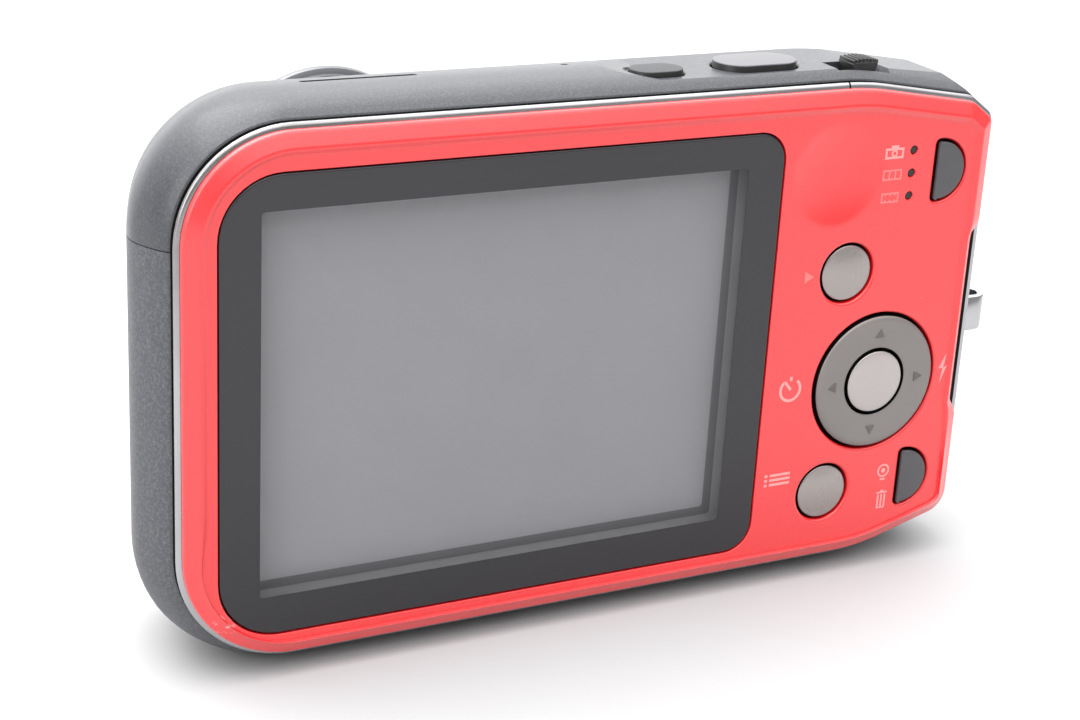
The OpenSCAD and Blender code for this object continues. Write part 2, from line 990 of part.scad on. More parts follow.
module card_slot() {
  c = card_size;
  gap = 0.1;
  sheet = 0.4;
  low = [card_x - gap, card_y - gap, 8];
  high = [card_x + c[0] + gap, card_y + c[2] + gap, card_z + c[1] + 1.4];
  color([0.78, 0.79, 0.8])
    difference() {
      block(low - [sheet, sheet, 0], high + [sheet, sheet, sheet]);
      block(low - [0, 0, 1], high);
    }
}

module memory_card() {
  c = card_size;
  cut = 4;
  color([0.1, 0.15, 0.4])
    slab(card_y, card_y + c[2])
      polygon([
        [card_x, card_z],
        [card_x + c[0], card_z],
        [card_x + c[0], card_z + c[1]],
        [card_x + cut, card_z + c[1]],
        [card_x, card_z + c[1] - cut]
      ]);
}

module usb_socket() {
  color([0.78, 0.79, 0.8])
    difference() {
      block([17.4, 2.2, 4.6], [25.0, 5.0, 10]);
      block([17.8, 2.6, 4], [24.6, 4.6, 9.4]);
    }
}

rear_cover();
trim_frame();
screen_glass();
lcd_bezel();
lcd_panel();
backlight();
chassis();
key_mat();
key_board();
key_domes();
mode_lights();
mode_button();
playback_button();
menu_button();
help_button();
control_ring();
ring_rocker();
centre_button();
top_cover();
side_cover();
front_shell();
front_plate();
lens_ring();
lens_window();
power_button();
shutter_button();
zoom_lever();
lever_bracket();
switch_board();
speaker();
microphone();
flash_window();
flash_reflector();
flash_tube();
flash_capacitor();
af_lamp();
lens_housing();
prism();
zoom_carrier();
zoom_lens();
focus_carrier();
focus_lens();
guide_rods();
zoom_screw();
zoom_motor();
focus_screw();
focus_motor();
image_sensor();
main_board();
battery_box();
battery();
battery_catch();
card_slot();
memory_card();
usb_socket();
battery_door();
door_seal();
door_lock();
tripod_socket();
strap_lug();
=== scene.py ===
"""A compact digital camera: its skins, keys, glass and finishes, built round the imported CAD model.

Lengths are millimetres in the camera's own frame and become metres when a mesh is made:
+X is to the right of the person holding it, +Y is the way the lens looks, +Z is up.
"""

import math

import bmesh
import bpy
from mathutils import Matrix, Vector
from mathutils.geometry import area_tri, delaunay_2d_cdt

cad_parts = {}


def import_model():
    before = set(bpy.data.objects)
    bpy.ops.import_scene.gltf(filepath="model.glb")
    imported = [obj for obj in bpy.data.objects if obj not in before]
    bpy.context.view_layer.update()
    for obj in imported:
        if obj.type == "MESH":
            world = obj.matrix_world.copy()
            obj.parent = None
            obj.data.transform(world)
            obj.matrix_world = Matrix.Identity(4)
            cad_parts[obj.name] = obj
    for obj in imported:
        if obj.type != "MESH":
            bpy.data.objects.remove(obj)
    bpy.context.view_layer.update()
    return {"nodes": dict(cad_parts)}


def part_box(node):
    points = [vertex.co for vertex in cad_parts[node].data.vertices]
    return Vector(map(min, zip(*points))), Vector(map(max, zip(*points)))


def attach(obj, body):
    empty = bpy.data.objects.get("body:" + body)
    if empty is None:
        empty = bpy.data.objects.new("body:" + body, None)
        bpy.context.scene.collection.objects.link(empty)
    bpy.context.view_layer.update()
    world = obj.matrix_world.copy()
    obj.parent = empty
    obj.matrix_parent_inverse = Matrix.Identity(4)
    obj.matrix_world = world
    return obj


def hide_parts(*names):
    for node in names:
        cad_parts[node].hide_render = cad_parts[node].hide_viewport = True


MM = 0.001
ROOT = "camera"

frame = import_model()


def span(node):
    """Lowest and highest corner of a CAD node, in millimetres."""
    low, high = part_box(node)
    return low / MM, high / MM


def middle(node):
    low, high = span(node)
    return (low + high) / 2


def radius_of(node):
    low, high = span(node)
    return (high.x - low.x) / 2


# Planes and places, from the frame ------------------------------------------------------------

cover_low, cover_high = span("rear_cover")
glass_low, glass_high = span("screen_glass")
LEFT = cover_low.x - 3.05
RIGHT = cover_high.x + 2.8
BACK = cover_low.y
PANEL = glass_low.y
COVER_BACK = cover_high.y
SHELL_START = span("trim_frame")[1].y
FACE = span("front_plate")[0].y
SEAM_X, _, SEAM_Z = span("side_cover")[1]
SPLIT_Y = span("top_cover")[1].y

ring_at = middle("control_ring")
playback_at = middle("playback_button")
menu_at = middle("menu_button")
mode_low, mode_high = span("mode_button")
help_low, help_high = span("help_button")
lights_at = middle("mode_lights")
LIGHT_PITCH = 2.68
THUMB_X = 26.35
THUMB_Z = 49.8
THUMB_R = 5.9
THUMB_DEPTH = 0.7
THUMB_FLAT_R = 1.4
ROUND_HOLE_R = 3.6
RING_HOLE_R = 8.5
D_HOLE_R = 3.7
D_FLAT = -0.8
D_FLANGE = 0.4
KEY_GAP = 0.25

power_at = middle("power_button")
shutter_at = middle("shutter_button")
lever_low, lever_high = span("zoom_lever")
LEVER_X = (lever_low.x + lever_high.x) / 2
LEVER_PIVOT_Z = 54.0
LEVER_R = lever_high.z - LEVER_PIVOT_Z
LEVER_HALF = 13.0
LEVER_TURN = 13.0
LEVER_HUB_Y = lever_low.y + 1.0

lens_at = middle("lens_ring")
LENS_RING_R = radius_of("lens_ring")
LENS_WINDOW_R = radius_of("lens_window")

screen_at = middle("lcd_panel")
screen_low, screen_high = span("lcd_panel")
SCREEN_MARGIN = 2.5
SCREEN_W = screen_high.x - screen_low.x - 2 * SCREEN_MARGIN
SCREEN_H = screen_high.z - screen_low.z - 2 * SCREEN_MARGIN


# Outlines -------------------------------------------------------------------------------------


class Outline:
    """A closed outline of arcs joined by straight lines, with the same number of points at any size.

    A corner is (x, z, radius, first angle, last angle, side, pull x, pull z). side says which end it
    belongs to, and the pulls say how the centre moves once the radius can't get any smaller.
    """

    LEAST_R = 0.4

    def __init__(self, corners, pitch=1.0):
        self.corners = [tuple(c) + (0,) * (8 - len(c)) for c in corners]
        self.arc_steps = []
        for _, _, r, a0, a1, *_ in self.corners:
            length = math.radians(abs(a1 - a0)) * max(r, 1.0)
            turns = abs(a1 - a0) / 7.5
            self.arc_steps.append(max(3, math.ceil(length / pitch), math.ceil(turns)))
        self.line_steps = []
        for i, c in enumerate(self.corners):
            after = self.corners[(i + 1) % len(self.corners)]
            gap = (self._at(c, c[4], 0, 0) - self._at(after, after[3], 0, 0)).length
            self.line_steps.append(max(1, round(gap / pitch)))

    def _at(self, corner, angle, grow, side):
        x, z, r, _, _, end, pull_x, pull_z = corner
        radius = max(r + grow, self.LEAST_R)
        extra = radius - r - grow
        a = math.radians(angle)
        centre = Vector((x + end * side - extra * pull_x, z - extra * pull_z))
        return centre + radius * Vector((math.cos(a), math.sin(a)))

    def points(self, grow=0.0, side=0.0):
        found = []
        for i, c in enumerate(self.corners):
            steps = self.arc_steps[i]
            whole = abs(c[4] - c[3]) >= 360
            for k in range(steps if whole else steps + 1):
                found.append(self._at(c, c[3] + (c[4] - c[3]) * k / steps, grow, side))
            if whole:
                continue
            after = self.corners[(i + 1) % len(self.corners)]
            start = found[-1]
            end = self._at(after, after[3], grow, side)
            for k in range(1, self.line_steps[i]):
                found.append(start.lerp(end, k / self.line_steps[i]))
        return found


def circle(x, z, r, pitch=0.3):
    return Outline([(x, z, r, 0, 360)], pitch)


def oval(x, y, width, depth, pitch=0.25):
    reach = (width - depth) / 2
    return Outline([(x + reach, y, depth / 2, -90, 90), (x - reach, y, depth / 2, 90, 270)], pitch)


def box_outline(x0, z0, x1, z1, r, pitch=1.0):
    return Outline(
        [
            (x1 - r, z0 + r, r, -90, 0),
            (x1 - r, z1 - r, r, 0, 90),
            (x0 + r, z1 - r, r, 90, 180),
            (x0 + r, z0 + r, r, 180, 270),
        ],
        pitch,
    )


def half_round(x, z, pitch=0.3):
    """Half-round key opening: a circle cut by a flat side on its left, with rounded ends."""
    r = 0.65
    reach = math.sqrt((D_HOLE_R - r) ** 2 - (D_FLAT + r) ** 2)
    turn = math.degrees(math.atan2(reach, D_FLAT + r))
    corner_x = x + D_FLAT + r
    return Outline(
        [
            (x, z, D_HOLE_R, -turn, turn),
            (corner_x, z + reach, r, turn, 180),
            (corner_x, z - reach, r, 180, 360 - turn),
        ],
        pitch,
    )


# The body outline seen from behind, the same corners as the CAD model's
BODY = Outline(
    [
        (RIGHT - 5.7, 8.2, 2.9, -74, 0, 1),
        (RIGHT - 4.2, 54.2, 1.2, 0, 60, 1, 1, 0.577),
        (RIGHT - 7.1, 54.1, 3, 60, 80.3, 1),
        (RIGHT - 23.1, 29.4, 30, 80.3, 90, 1),
        (LEFT + 14.55, 47.95, 11.45, 90, 180, -1),
        (LEFT + 15.35, 14.8, 12.3, 180, 270, -1),
        (RIGHT - 18.6, 26.5, 24, 270, 286, 1),
    ]
)

wide_r = 6.7
tight_r = 3.3
GLASS = Outline(
    [
        (glass_high.x - tight_r, glass_low.z + tight_r, tight_r, -90, 0),
        (glass_high.x - tight_r, glass_high.z - tight_r, tight_r, 0, 90),
        (glass_low.x + wide_r, glass_high.z - wide_r, wide_r, 90, 180),
        (glass_low.x + wide_r, glass_low.z + wide_r, wide_r, 180, 270),
    ]
)
mode_x = mode_low.x + D_FLANGE - D_FLAT
help_x = help_low.x + D_FLANGE - D_FLAT
MODE = half_round(mode_x, (mode_low.z + mode_high.z) / 2)
HELP = half_round(help_x, (help_low.z + help_high.z) / 2)
PLAYBACK = circle(playback_at.x, playback_at.z, ROUND_HOLE_R)
MENU = circle(menu_at.x, menu_at.z, ROUND_HOLE_R)
RING = circle(ring_at.x, ring_at.z, RING_HOLE_R)


# Mesh helpers ---------------------------------------------------------------------------------


def across_x(points, x):
    """A flat outline in y and z, placed at x."""
    return [Vector((x, p[0], p[1])) for p in points]


def across_y(points, y):
    """A flat outline in x and z, placed at y."""
    return [Vector((p[0], y, p[1])) for p in points]


def across_z(points, z):
    """A flat outline in x and y, placed at z."""
    return [Vector((p[0], p[1], z)) for p in points]


def arc_points(x, other, r, degrees):
    """Points at these angles on a circle round x and the other coordinate."""
    return [(x + r * math.cos(math.radians(a)), other + r * math.sin(math.radians(a))) for a in degrees]


def add_loop(bm, points):
    return [bm.verts.new(p) for p in points]


def bridge(bm, loops, closed=False):
    """Quads between neighbouring loops, and from the last back to the first if closed."""
    pairs = list(zip(loops, loops[1:]))
    if closed:
        pairs.append((loops[-1], loops[0]))
    for a, b in pairs:
        for i in range(len(a)):
            j = (i + 1) % len(a)
            bm.faces.new((a[i], a[j], b[j], b[i]))


def close_up(bm, loops, ring=False):
    """Joins loops into a closed solid: round on itself for a ring, or with a face at each end."""
    bridge(bm, loops, closed=ring)
    if not ring:
        bm.faces.new(loops[0])
        bm.faces.new(loops[-1])


SLIVER = 1e-4  # mm2, the smallest triangle kept in a flat fill


def crosses(a, b, point):
    """Whether a line from point toward +x crosses the edge from a to b."""
    if (a.y > point.y) == (b.y > point.y):
        return False
    return point.x < a.x + (b.x - a.x) * (point.y - a.y) / (b.y - a.y)


def fill_flat(bm, loops):
    """Triangles between an outer loop and the holes in it, all in one plane across y."""
    verts = [v for loop in loops for v in loop]
    edges = []
    for loop in loops:
        start = len(edges)
        edges += [(start + i, start + (i + 1) % len(loop)) for i in range(len(loop))]
    flat = [Vector((v.co.x, v.co.z)) for v in verts]
    points, _, triangles, sources, _, _ = delaunay_2d_cdt(flat, edges, [], 0, 1e-6)
    for triangle in triangles:
        centre = sum((points[i] for i in triangle), Vector((0, 0))) / 3
        if area_tri(*[points[i] for i in triangle]) < SLIVER:
            continue
        if sum(crosses(flat[a], flat[b], centre) for a, b in edges) % 2:
            bm.faces.new([verts[sources[i][0]] for i in triangle])


def make_object(name, bm, sharp_angle=32):
    """Turns a bmesh in millimetres into an object in metres, with smooth shading but for sharp edges."""
    bmesh.ops.recalc_face_normals(bm, faces=bm.faces[:])
    bm.transform(Matrix.Scale(MM, 4))
    mesh = bpy.data.meshes.new(name)
    bm.to_mesh(mesh)
    bm.free()
    return shade(link_mesh(name, mesh), sharp_angle)


def link_mesh(name, mesh):
    obj = bpy.data.objects.new(name, mesh)
    bpy.context.scene.collection.objects.link(obj)
    return obj


def shade(obj, sharp_angle=32):
    obj.data.shade_smooth()
    obj.data.set_sharp_from_angle(angle=math.radians(sharp_angle))
    return obj


def stack(name, rows, outline, place=across_y, ring=False, sharp_angle=32):
    """A solid through a stack of sizes of one outline. A row is (level, grow)."""
    bm = bmesh.new()
    loops = [add_loop(bm, place(outline.points(grow), level)) for level, grow in rows]
    close_up(bm, loops, ring)
    return make_object(name, bm, sharp_angle)


def lathe(name, rows, x, other, axis="Y", segments=96, ring=False, sharp_angle=32):
    """A turned solid. A row is (level along the axis, radius). other is z for axis Y and y for axis Z."""
    place = across_y if axis == "Y" else across_z
    bm = bmesh.new()
    loops = []
    for level, r in rows:
        angles = [math.tau * i / segments for i in range(segments)]
        points = [(x + r * math.cos(a), other + r * math.sin(a)) for a in angles]
        loops.append(add_loop(bm, place(points, level)))
    close_up(bm, loops, ring)
    return make_object(name, bm, sharp_angle)


def prism_mesh(bm, points, low, high, place=across_y):
    close_up(bm, [add_loop(bm, place(points, level)) for level in (low, high)])


def block_mesh(bm, low, high):
    corners = [(low[0], low[2]), (high[0], low[2]), (high[0], high[2]), (low[0], high[2])]
    prism_mesh(bm, corners, low[1], high[1])


def stack_mesh(bm, rows, outline, place=across_y):
    close_up(bm, [add_loop(bm, place(outline.points(grow), level)) for level, grow in rows])


def carve(obj, cutter_bm, operation="DIFFERENCE", sharp_angle=32):
    """Cuts obj with the closed shapes in cutter_bm and keeps the result as its mesh."""
    cutter = make_object("cutter", cutter_bm)
    cut = obj.modifiers.new("cut", "BOOLEAN")
    cut.operation = operation
    cut.solver = "EXACT"
    cut.use_self = True
    cut.object = cutter
    apply_modifiers(obj)
    bpy.data.objects.remove(cutter)
    return shade(obj, sharp_angle)


def apply_modifiers(obj):
    bpy.context.view_layer.update()
    evaluated = obj.evaluated_get(bpy.context.evaluated_depsgraph_get())
    mesh = bpy.data.meshes.new_from_object(evaluated)
    mesh.validate()
    obj.modifiers.clear()
    obj.data = mesh


def bevelled(obj, width, segments=2, angle=40):
    mod = obj.modifiers.new("edges", "BEVEL")
    mod.width = width * MM
    mod.segments = segments
    mod.limit_method = "ANGLE"
    mod.angle_limit = math.radians(angle)
    mod.harden_normals = True
    apply_modifiers(obj)
    return obj


# Materials ------------------------------------------------------------------------------------


def tone(r, g, b):
    """A linear colour from 0 to 255 screen values."""
    return tuple(((v / 255) ** 2.2) for v in (r, g, b)) + (1.0,)


class Finish:
    """Builds one node material: base colour with variation, roughness with variation, and bump."""

    def __init__(self, name, roughness=0.4, metallic=0.0, specular=0.5, coat=0.0, coat_roughness=0.1):
        self.material = bpy.data.materials.new(name)
        self.material.use_nodes = True
        self.tree = self.material.node_tree
        self.shader = self.tree.nodes["Principled BSDF"]
        self.shader.inputs["Roughness"].default_value = roughness
        self.shader.inputs["Metallic"].default_value = metallic
        self.shader.inputs["Specular IOR Level"].default_value = specular
        self.shader.inputs["Coat Weight"].default_value = coat
        self.shader.inputs["Coat Roughness"].default_value = coat_roughness
        self.coords = self.tree.nodes.new("ShaderNodeTexCoord").outputs["Object"]

    def feed(self, socket, value):
        """Links value to socket if it is a socket too, or sets it there."""
        if isinstance(value, bpy.types.NodeSocket):
            self.tree.links.new(value, socket)
        else:
            socket.default_value = value

    def node(self, kind, **inputs):
        made = self.tree.nodes.new(kind)
        for key, value in inputs.items():
            self.feed(made.inputs[key.replace("_", " ")], value)
        return made

    def noise(self, scale, detail=2.0, roughness=0.5, stretch=None):
        source = self.coords
        if stretch:
            source = self.node("ShaderNodeMapping", Vector=self.coords, Scale=stretch).outputs["Vector"]
        made = self.node("ShaderNodeTexNoise", Vector=source, Scale=scale, Detail=detail, Roughness=roughness)
        return made.outputs["Fac"]

    def spots(self, scale, size):
        """Small round spots, 1 inside and 0 outside."""
        cells = self.node("ShaderNodeTexVoronoi", Vector=self.coords, Scale=scale)
        return self.step(cells.outputs["Distance"], size, size * 0.7)

    def step(self, value, low, high):
        made = self.node("ShaderNodeMapRange", Value=value, From_Min=low, From_Max=high)
        return made.outputs["Result"]

    def times(self, a, b):
        made = self.node("ShaderNodeMath")
        made.operation = "MULTIPLY"
        self.feed(made.inputs[0], a)
        self.feed(made.inputs[1], b)
        return made.outputs["Value"]

    def near(self, point, reach, soft):
        """1 close to a point of the object, falling to 0 at reach plus soft, in millimetres."""
        made = self.tree.nodes.new("ShaderNodeVectorMath")
        made.operation = "DISTANCE"
        self.tree.links.new(self.coords, made.inputs[0])
        made.inputs[1].default_value = Vector(point) * MM
        return self.step(made.outputs["Value"], (reach + soft) * MM, reach * MM)

    def blend(self, factor, a, b):
        made = self.tree.nodes.new("ShaderNodeMix")
        made.data_type = "RGBA"
        for socket, value in ((made.inputs["Factor"], factor), (made.inputs[6], a), (made.inputs[7], b)):
            self.feed(socket, value)
        return made.outputs[2]

    def colour(self, socket):
        self.tree.links.new(socket, self.shader.inputs["Base Color"])

    def rough(self, factor, low, high):
        made = self.node("ShaderNodeMapRange", Value=factor, To_Min=low, To_Max=high)
        self.tree.links.new(made.outputs["Result"], self.shader.inputs["Roughness"])

    def bump(self, height, strength, distance=0.02):
        made = self.node("ShaderNodeBump", Height=height, Strength=strength, Distance=distance * MM)
        self.tree.links.new(made.outputs["Normal"], self.shader.inputs["Normal"])


def plain_finish(name, low, high, roughness, metallic=0.0, scale=900, grain=0.25, depth=0.01, **shader):
    """Moulded plastic, metal or print: two close tones, a varied roughness and a fine grain."""
    made = Finish(name, metallic=metallic, **shader)
    cloud = made.noise(scale / 6, 3)
    made.colour(made.blend(cloud, low, high))
    made.rough(made.noise(scale / 3, 2), roughness[0], roughness[1])
    made.bump(made.noise(scale, 3, 0.6), grain, depth)
    return made.material


def red_paint(name, glint_at):
    """Satin metallic red with fine flakes, a few dust specks and pale specks near each given point, a painted
    glint.
    """
    made = Finish(name, metallic=0.0, specular=0.75, coat=0.9, coat_roughness=0.2)
    flakes = made.noise(5200, 1, 0.4)
    cloud = made.noise(45, 3)
    base = made.blend(cloud, RED_DEEP, RED_CLEAR)
    base = made.blend(made.times(made.step(flakes, 0.5, 0.9), 0.35), base, RED_FLAKE)
    # Pale pink specks near each given point: a painted glint.
    for point, reach in glint_at:
        glint_specks = made.step(made.noise(1500, 4, 0.7), 0.56, 0.6)
        base = made.blend(made.times(glint_specks, made.near(point, reach, 0.8)), base, GLINT_PINK)
    made.colour(made.blend(made.times(made.spots(150, 0.014), 0.5), base, DUST))
    made.rough(made.noise(700, 2), 0.34, 0.42)
    made.bump(flakes, 0.02, 0.003)
    return made.material


def body_finish(name, low, high, spark, grain_scale, grain, depth, roughness):
    """Charcoal shell: cloudy tone, fine sparks or moulded texture, a few specks of dust."""
    made = Finish(name, specular=0.5)
    base = made.blend(made.noise(60, 4), low, high)
    base = made.blend(made.times(made.step(made.noise(grain_scale, 3, 0.7), 0.45, 0.75), 0.6), base, spark)
    made.colour(made.blend(made.times(made.spots(170, 0.015), 0.5), base, DUST))
    made.rough(made.noise(grain_scale / 4, 3), roughness[0], roughness[1])
    made.bump(made.noise(grain_scale, 3, 0.6), grain, depth)
    return made.material


def trim_finish():
    """Bright plated band with fine scratches along it and a darker patch at its top left corner, a painted
    dark reflection.
    """
    made = Finish("bright_plating", metallic=1.0, specular=0.5)
    scratches = made.noise(900, 4, 0.7, stretch=(0.25, 1.0, 0.25))
    # Darker tone near the top left corner: a painted dark reflection.
    dark_reflection_patch = made.times(made.noise(240, 3, 0.6), made.near((LEFT + 7, BACK + 1.8, 55), 9, 12))
    base = made.blend(made.noise(120, 3), tone(158, 157, 159), tone(184, 183, 185))
    made.colour(made.blend(dark_reflection_patch, base, tone(120, 114, 112)))
    made.rough(scratches, 0.16, 0.34)
    made.bump(scratches, 0.25, 0.01)
    return made.material


def glass_finish(name, low, high, alpha=1.0):
    """Polished pane with a trace of dust on it."""
    made = Finish(name, roughness=0.04, specular=0.5)
    base = made.blend(made.noise(30, 2), low, high)
    made.colour(made.blend(made.times(made.spots(90, 0.008), 0.6), base, DUST))
    made.rough(made.noise(60, 3), 0.03, 0.08)
    made.bump(made.noise(25, 1), 0.02, 0.01)
    made.shader.inputs["Alpha"].default_value = alpha
    return made.material


RED_DEEP = (0.70, 0.004, 0.007, 1)
RED_CLEAR = (0.78, 0.006, 0.010, 1)
RED_FLAKE = (0.90, 0.05, 0.05, 1)
# Pale pink of the painted glint near the bottom left corner.
GLINT_PINK = (0.80, 0.30, 0.32, 1)
DUST = (0.62, 0.60, 0.58, 1)

bottom_left_corner = (LEFT + 7.2, BACK + 0.4, 7.4)
MATERIALS = {
    "red_paint": red_paint("red_satin_paint", [(bottom_left_corner, 0.7)]),
    "red_paint_front": red_paint("red_satin_paint_front", []),
    "bright_trim": trim_finish(),
    "shell_satin": body_finish(
        "satin_charcoal", tone(56, 58, 62), tone(64, 66, 70), tone(92, 94, 98), 4200, 0.2, 0.012, (0.28, 0.38)
    ),
    "shell_texture": body_finish(
        "grained_charcoal",
        tone(62, 63, 67),
        tone(74, 75, 80),
        tone(112, 114, 118),
        3200,
        0.8,
        0.03,
        (0.40, 0.54),
    ),
    "screen_glass": glass_finish("mask_glass", tone(38, 37, 40), tone(44, 43, 46)),
    "window_glass": glass_finish("clear_glass", tone(50, 50, 52), tone(54, 54, 56), alpha=0.1),
    "lens_glass": glass_finish("lens_cover_glass", tone(14, 14, 22), tone(20, 16, 30), alpha=0.8),
    "flash_lens": glass_finish("flash_cover", tone(205, 206, 208), tone(222, 223, 225), alpha=0.55),
    "tube_glass": glass_finish("tube_glass", tone(214, 218, 222), tone(228, 231, 234)),
    "lamp_lens": glass_finish("lamp_lens", tone(226, 120, 44), tone(236, 140, 62), alpha=0.8),
}

# Slot, material name, darker and lighter tone, least and most roughness, and what else differs
PLAIN_FINISHES = [
    # The display's even light grey is a painted reflection of the surroundings.
    ("display", "display_reflection_grey", (151, 151, 155), (156, 156, 160), (0.5, 0.6), {"grain": 0.02}),
    ("display_border", "display_border", (104, 104, 107), (110, 110, 113), (0.5, 0.6), {"grain": 0.02}),
    ("display_edge", "display_edge", (140, 140, 142), (148, 148, 150), (0.5, 0.6), {"grain": 0.02}),
    ("display_frame", "display_frame", (140, 140, 143), (150, 150, 153), (0.5, 0.6), {}),
    ("diffuser", "diffuser_film", (225, 226, 224), (238, 238, 236), (0.5, 0.6), {}),
    ("black_plastic", "black_plastic", (16, 16, 17), (26, 26, 28), (0.38, 0.5), {"scale": 1600}),
    # Near black, dull and barely glossy: painted shade for the gaps round the keys, the joint behind the trim
    # and the floor of the side slot.
    ("gap_shade_black", "gap_shade_black", (6, 6, 6), (14, 13, 13), (0.7, 0.9), {"scale": 1600, "specular": 0.2}),
    ("chassis_metal", "pressed_steel", (165, 166, 168), (190, 191, 193), (0.3, 0.42), {"metallic": 1.0}),
    ("rubber", "black_rubber", (20, 20, 20), (32, 32, 32), (0.7, 0.85), {"grain": 0.5}),
    ("seal_rubber", "orange_rubber", (190, 84, 34), (206, 98, 44), (0.6, 0.75), {"grain": 0.4}),
    ("circuit_board", "green_board", (14, 78, 44), (26, 96, 56), (0.35, 0.5), {"scale": 700}),
    ("light_guide", "light_guide", (22, 18, 18), (34, 28, 28), (0.2, 0.3), {}),
    ("half_round_keys", "dark_key_plastic", (70, 69, 71), (80, 79, 82), (0.34, 0.44), {}),
    ("round_keys", "grey_key_metal", (148, 141, 138), (160, 153, 150), (0.24, 0.32), {"metallic": 0.6}),
    ("ring_plastic", "ring_satin", (120, 115, 113), (129, 124, 122), (0.32, 0.42), {"metallic": 0.3}),
    ("ring_mark", "ring_mark", (92, 88, 86), (100, 96, 94), (0.4, 0.5), {"metallic": 0.2}),
    ("centre_key", "centre_key_satin", (168, 162, 160), (178, 172, 170), (0.26, 0.34), {"metallic": 0.5}),
    ("rocker_metal", "rocker_steel", (170, 170, 172), (190, 190, 192), (0.25, 0.35), {"metallic": 1.0}),
    ("power_key", "power_key_satin", (52, 53, 56), (60, 61, 64), (0.5, 0.6), {}),
    ("shutter_key", "shutter_key_satin", (98, 98, 101), (108, 108, 111), (0.42, 0.52), {"metallic": 0.1}),
    ("lever_black", "lever_black", (18, 18, 19), (30, 30, 31), (0.4, 0.55), {"scale": 1500, "grain": 0.4}),
    ("lug_steel", "polished_steel", (172, 172, 174), (192, 192, 194), (0.14, 0.24), {"metallic": 1.0}),
    ("lens_ring_metal", "ring_metal", (104, 105, 108), (122, 123, 126), (0.3, 0.4), {"metallic": 0.6}),
    ("reflector_metal", "reflector_metal", (216, 216, 218), (232, 232, 234), (0.12, 0.2), {"metallic": 1.0}),
    ("capacitor_sleeve", "capacitor_sleeve", (24, 26, 40), (34, 36, 52), (0.3, 0.4), {}),
    ("screw_brass", "turned_brass", (196, 168, 104), (212, 186, 122), (0.22, 0.34), {"metallic": 1.0}),
    ("sensor", "sensor_glass", (30, 42, 60), (44, 58, 84), (0.08, 0.14), {}),
    ("battery_wrap", "battery_wrap", (52, 56, 68), (62, 66, 80), (0.35, 0.5), {}),
    ("catch_plastic", "catch_plastic", (58, 120, 178), (70, 132, 190), (0.35, 0.5), {}),
    ("card_plastic", "card_plastic", (24, 38, 88), (34, 48, 102), (0.35, 0.5), {}),
    ("socket_metal", "socket_steel", (186, 186, 188), (204, 204, 206), (0.22, 0.34), {"metallic": 1.0}),
    ("print", "pale_print", (232, 146, 144), (236, 156, 154), (0.5, 0.6), {"grain": 0.02}),
    ("faint_print", "faint_print", (230, 112, 110), (233, 120, 118), (0.5, 0.6), {"grain": 0.02}),
]
for slot, name, low, high, roughness, extra in PLAIN_FINISHES:
    MATERIALS[slot] = plain_finish(name, tone(*low), tone(*high), roughness, **extra)


def dress(obj, body, *nodes, finish=None, slot=None):
    """Gives a new piece its body and its material, from finish or else from slot, and hides the CAD nodes it
    stands for.
    """
    obj.data.materials.clear()
    obj.data.materials.append(MATERIALS[finish or slot])
    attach(obj, body)
    if nodes:
        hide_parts(*nodes)
    return obj


# Rear cover -----------------------------------------------------------------------------------

NOTCH_Z = (18.5, 42.5)
NOTCH_SOFT = 1.6


def smooth_step(t):
    t = min(1.0, max(0.0, t))
    return t * t * (3 - 2 * t)


def notched(points, depth):
    """Pulls the right edge in by depth where the strap lug's recess is."""
    if depth == 0:
        return points
    moved = []
    for p in points:
        inside = smooth_step((p.y - NOTCH_Z[0]) / NOTCH_SOFT) * smooth_step((NOTCH_Z[1] - p.y) / NOTCH_SOFT)
        edge = smooth_step((p.x - (RIGHT - 8)) / 3)
        moved.append(Vector((p.x - depth * inside * edge, p.y)))
    return moved


SLIM_FROM = -1.5
SLIM_SHARE = 0.18


def rim_points(grow):
    """The cover's outline at grow. Along the bottom the rim is slimmer, to make room for the screen."""
    slim = grow if grow > SLIM_FROM else SLIM_FROM + (grow - SLIM_FROM) * SLIM_SHARE
    wide_loop, slim_loop = BODY.points(grow), BODY.points(slim)
    return [p.lerp(q, smooth_step((20 - p.y) / 8)) for p, q in zip(wide_loop, slim_loop)]


def mouth_rows(fillet):
    """Rows (level, grow) of a hole through the cover, with a rounded edge at the panel."""
    rows = [(PANEL, fillet + 0.06)]
    for i in range(5):
        a = math.pi / 2 * i / 4
        rows.append((PANEL + fillet * (1 - math.cos(a)), fillet * (1 - math.sin(a))))
    rows.append((COVER_BACK, 0.0))
    return rows


def thumb_rows():
    """Rows (radius, depth) of the dished thumb rest, from its soft edge to its middle."""
    soft = 0.07
    outer = THUMB_R + 0.75
    rows = []
    for i in range(23):
        r = outer * (1 - i / 23)
        cap = THUMB_DEPTH * (1 - (r / THUMB_R) ** 2)
        rows.append((r, (cap + math.hypot(cap, soft)) / 2))
    lost = rows[0][1]
    return [(r, depth - lost) for r, depth in rows]


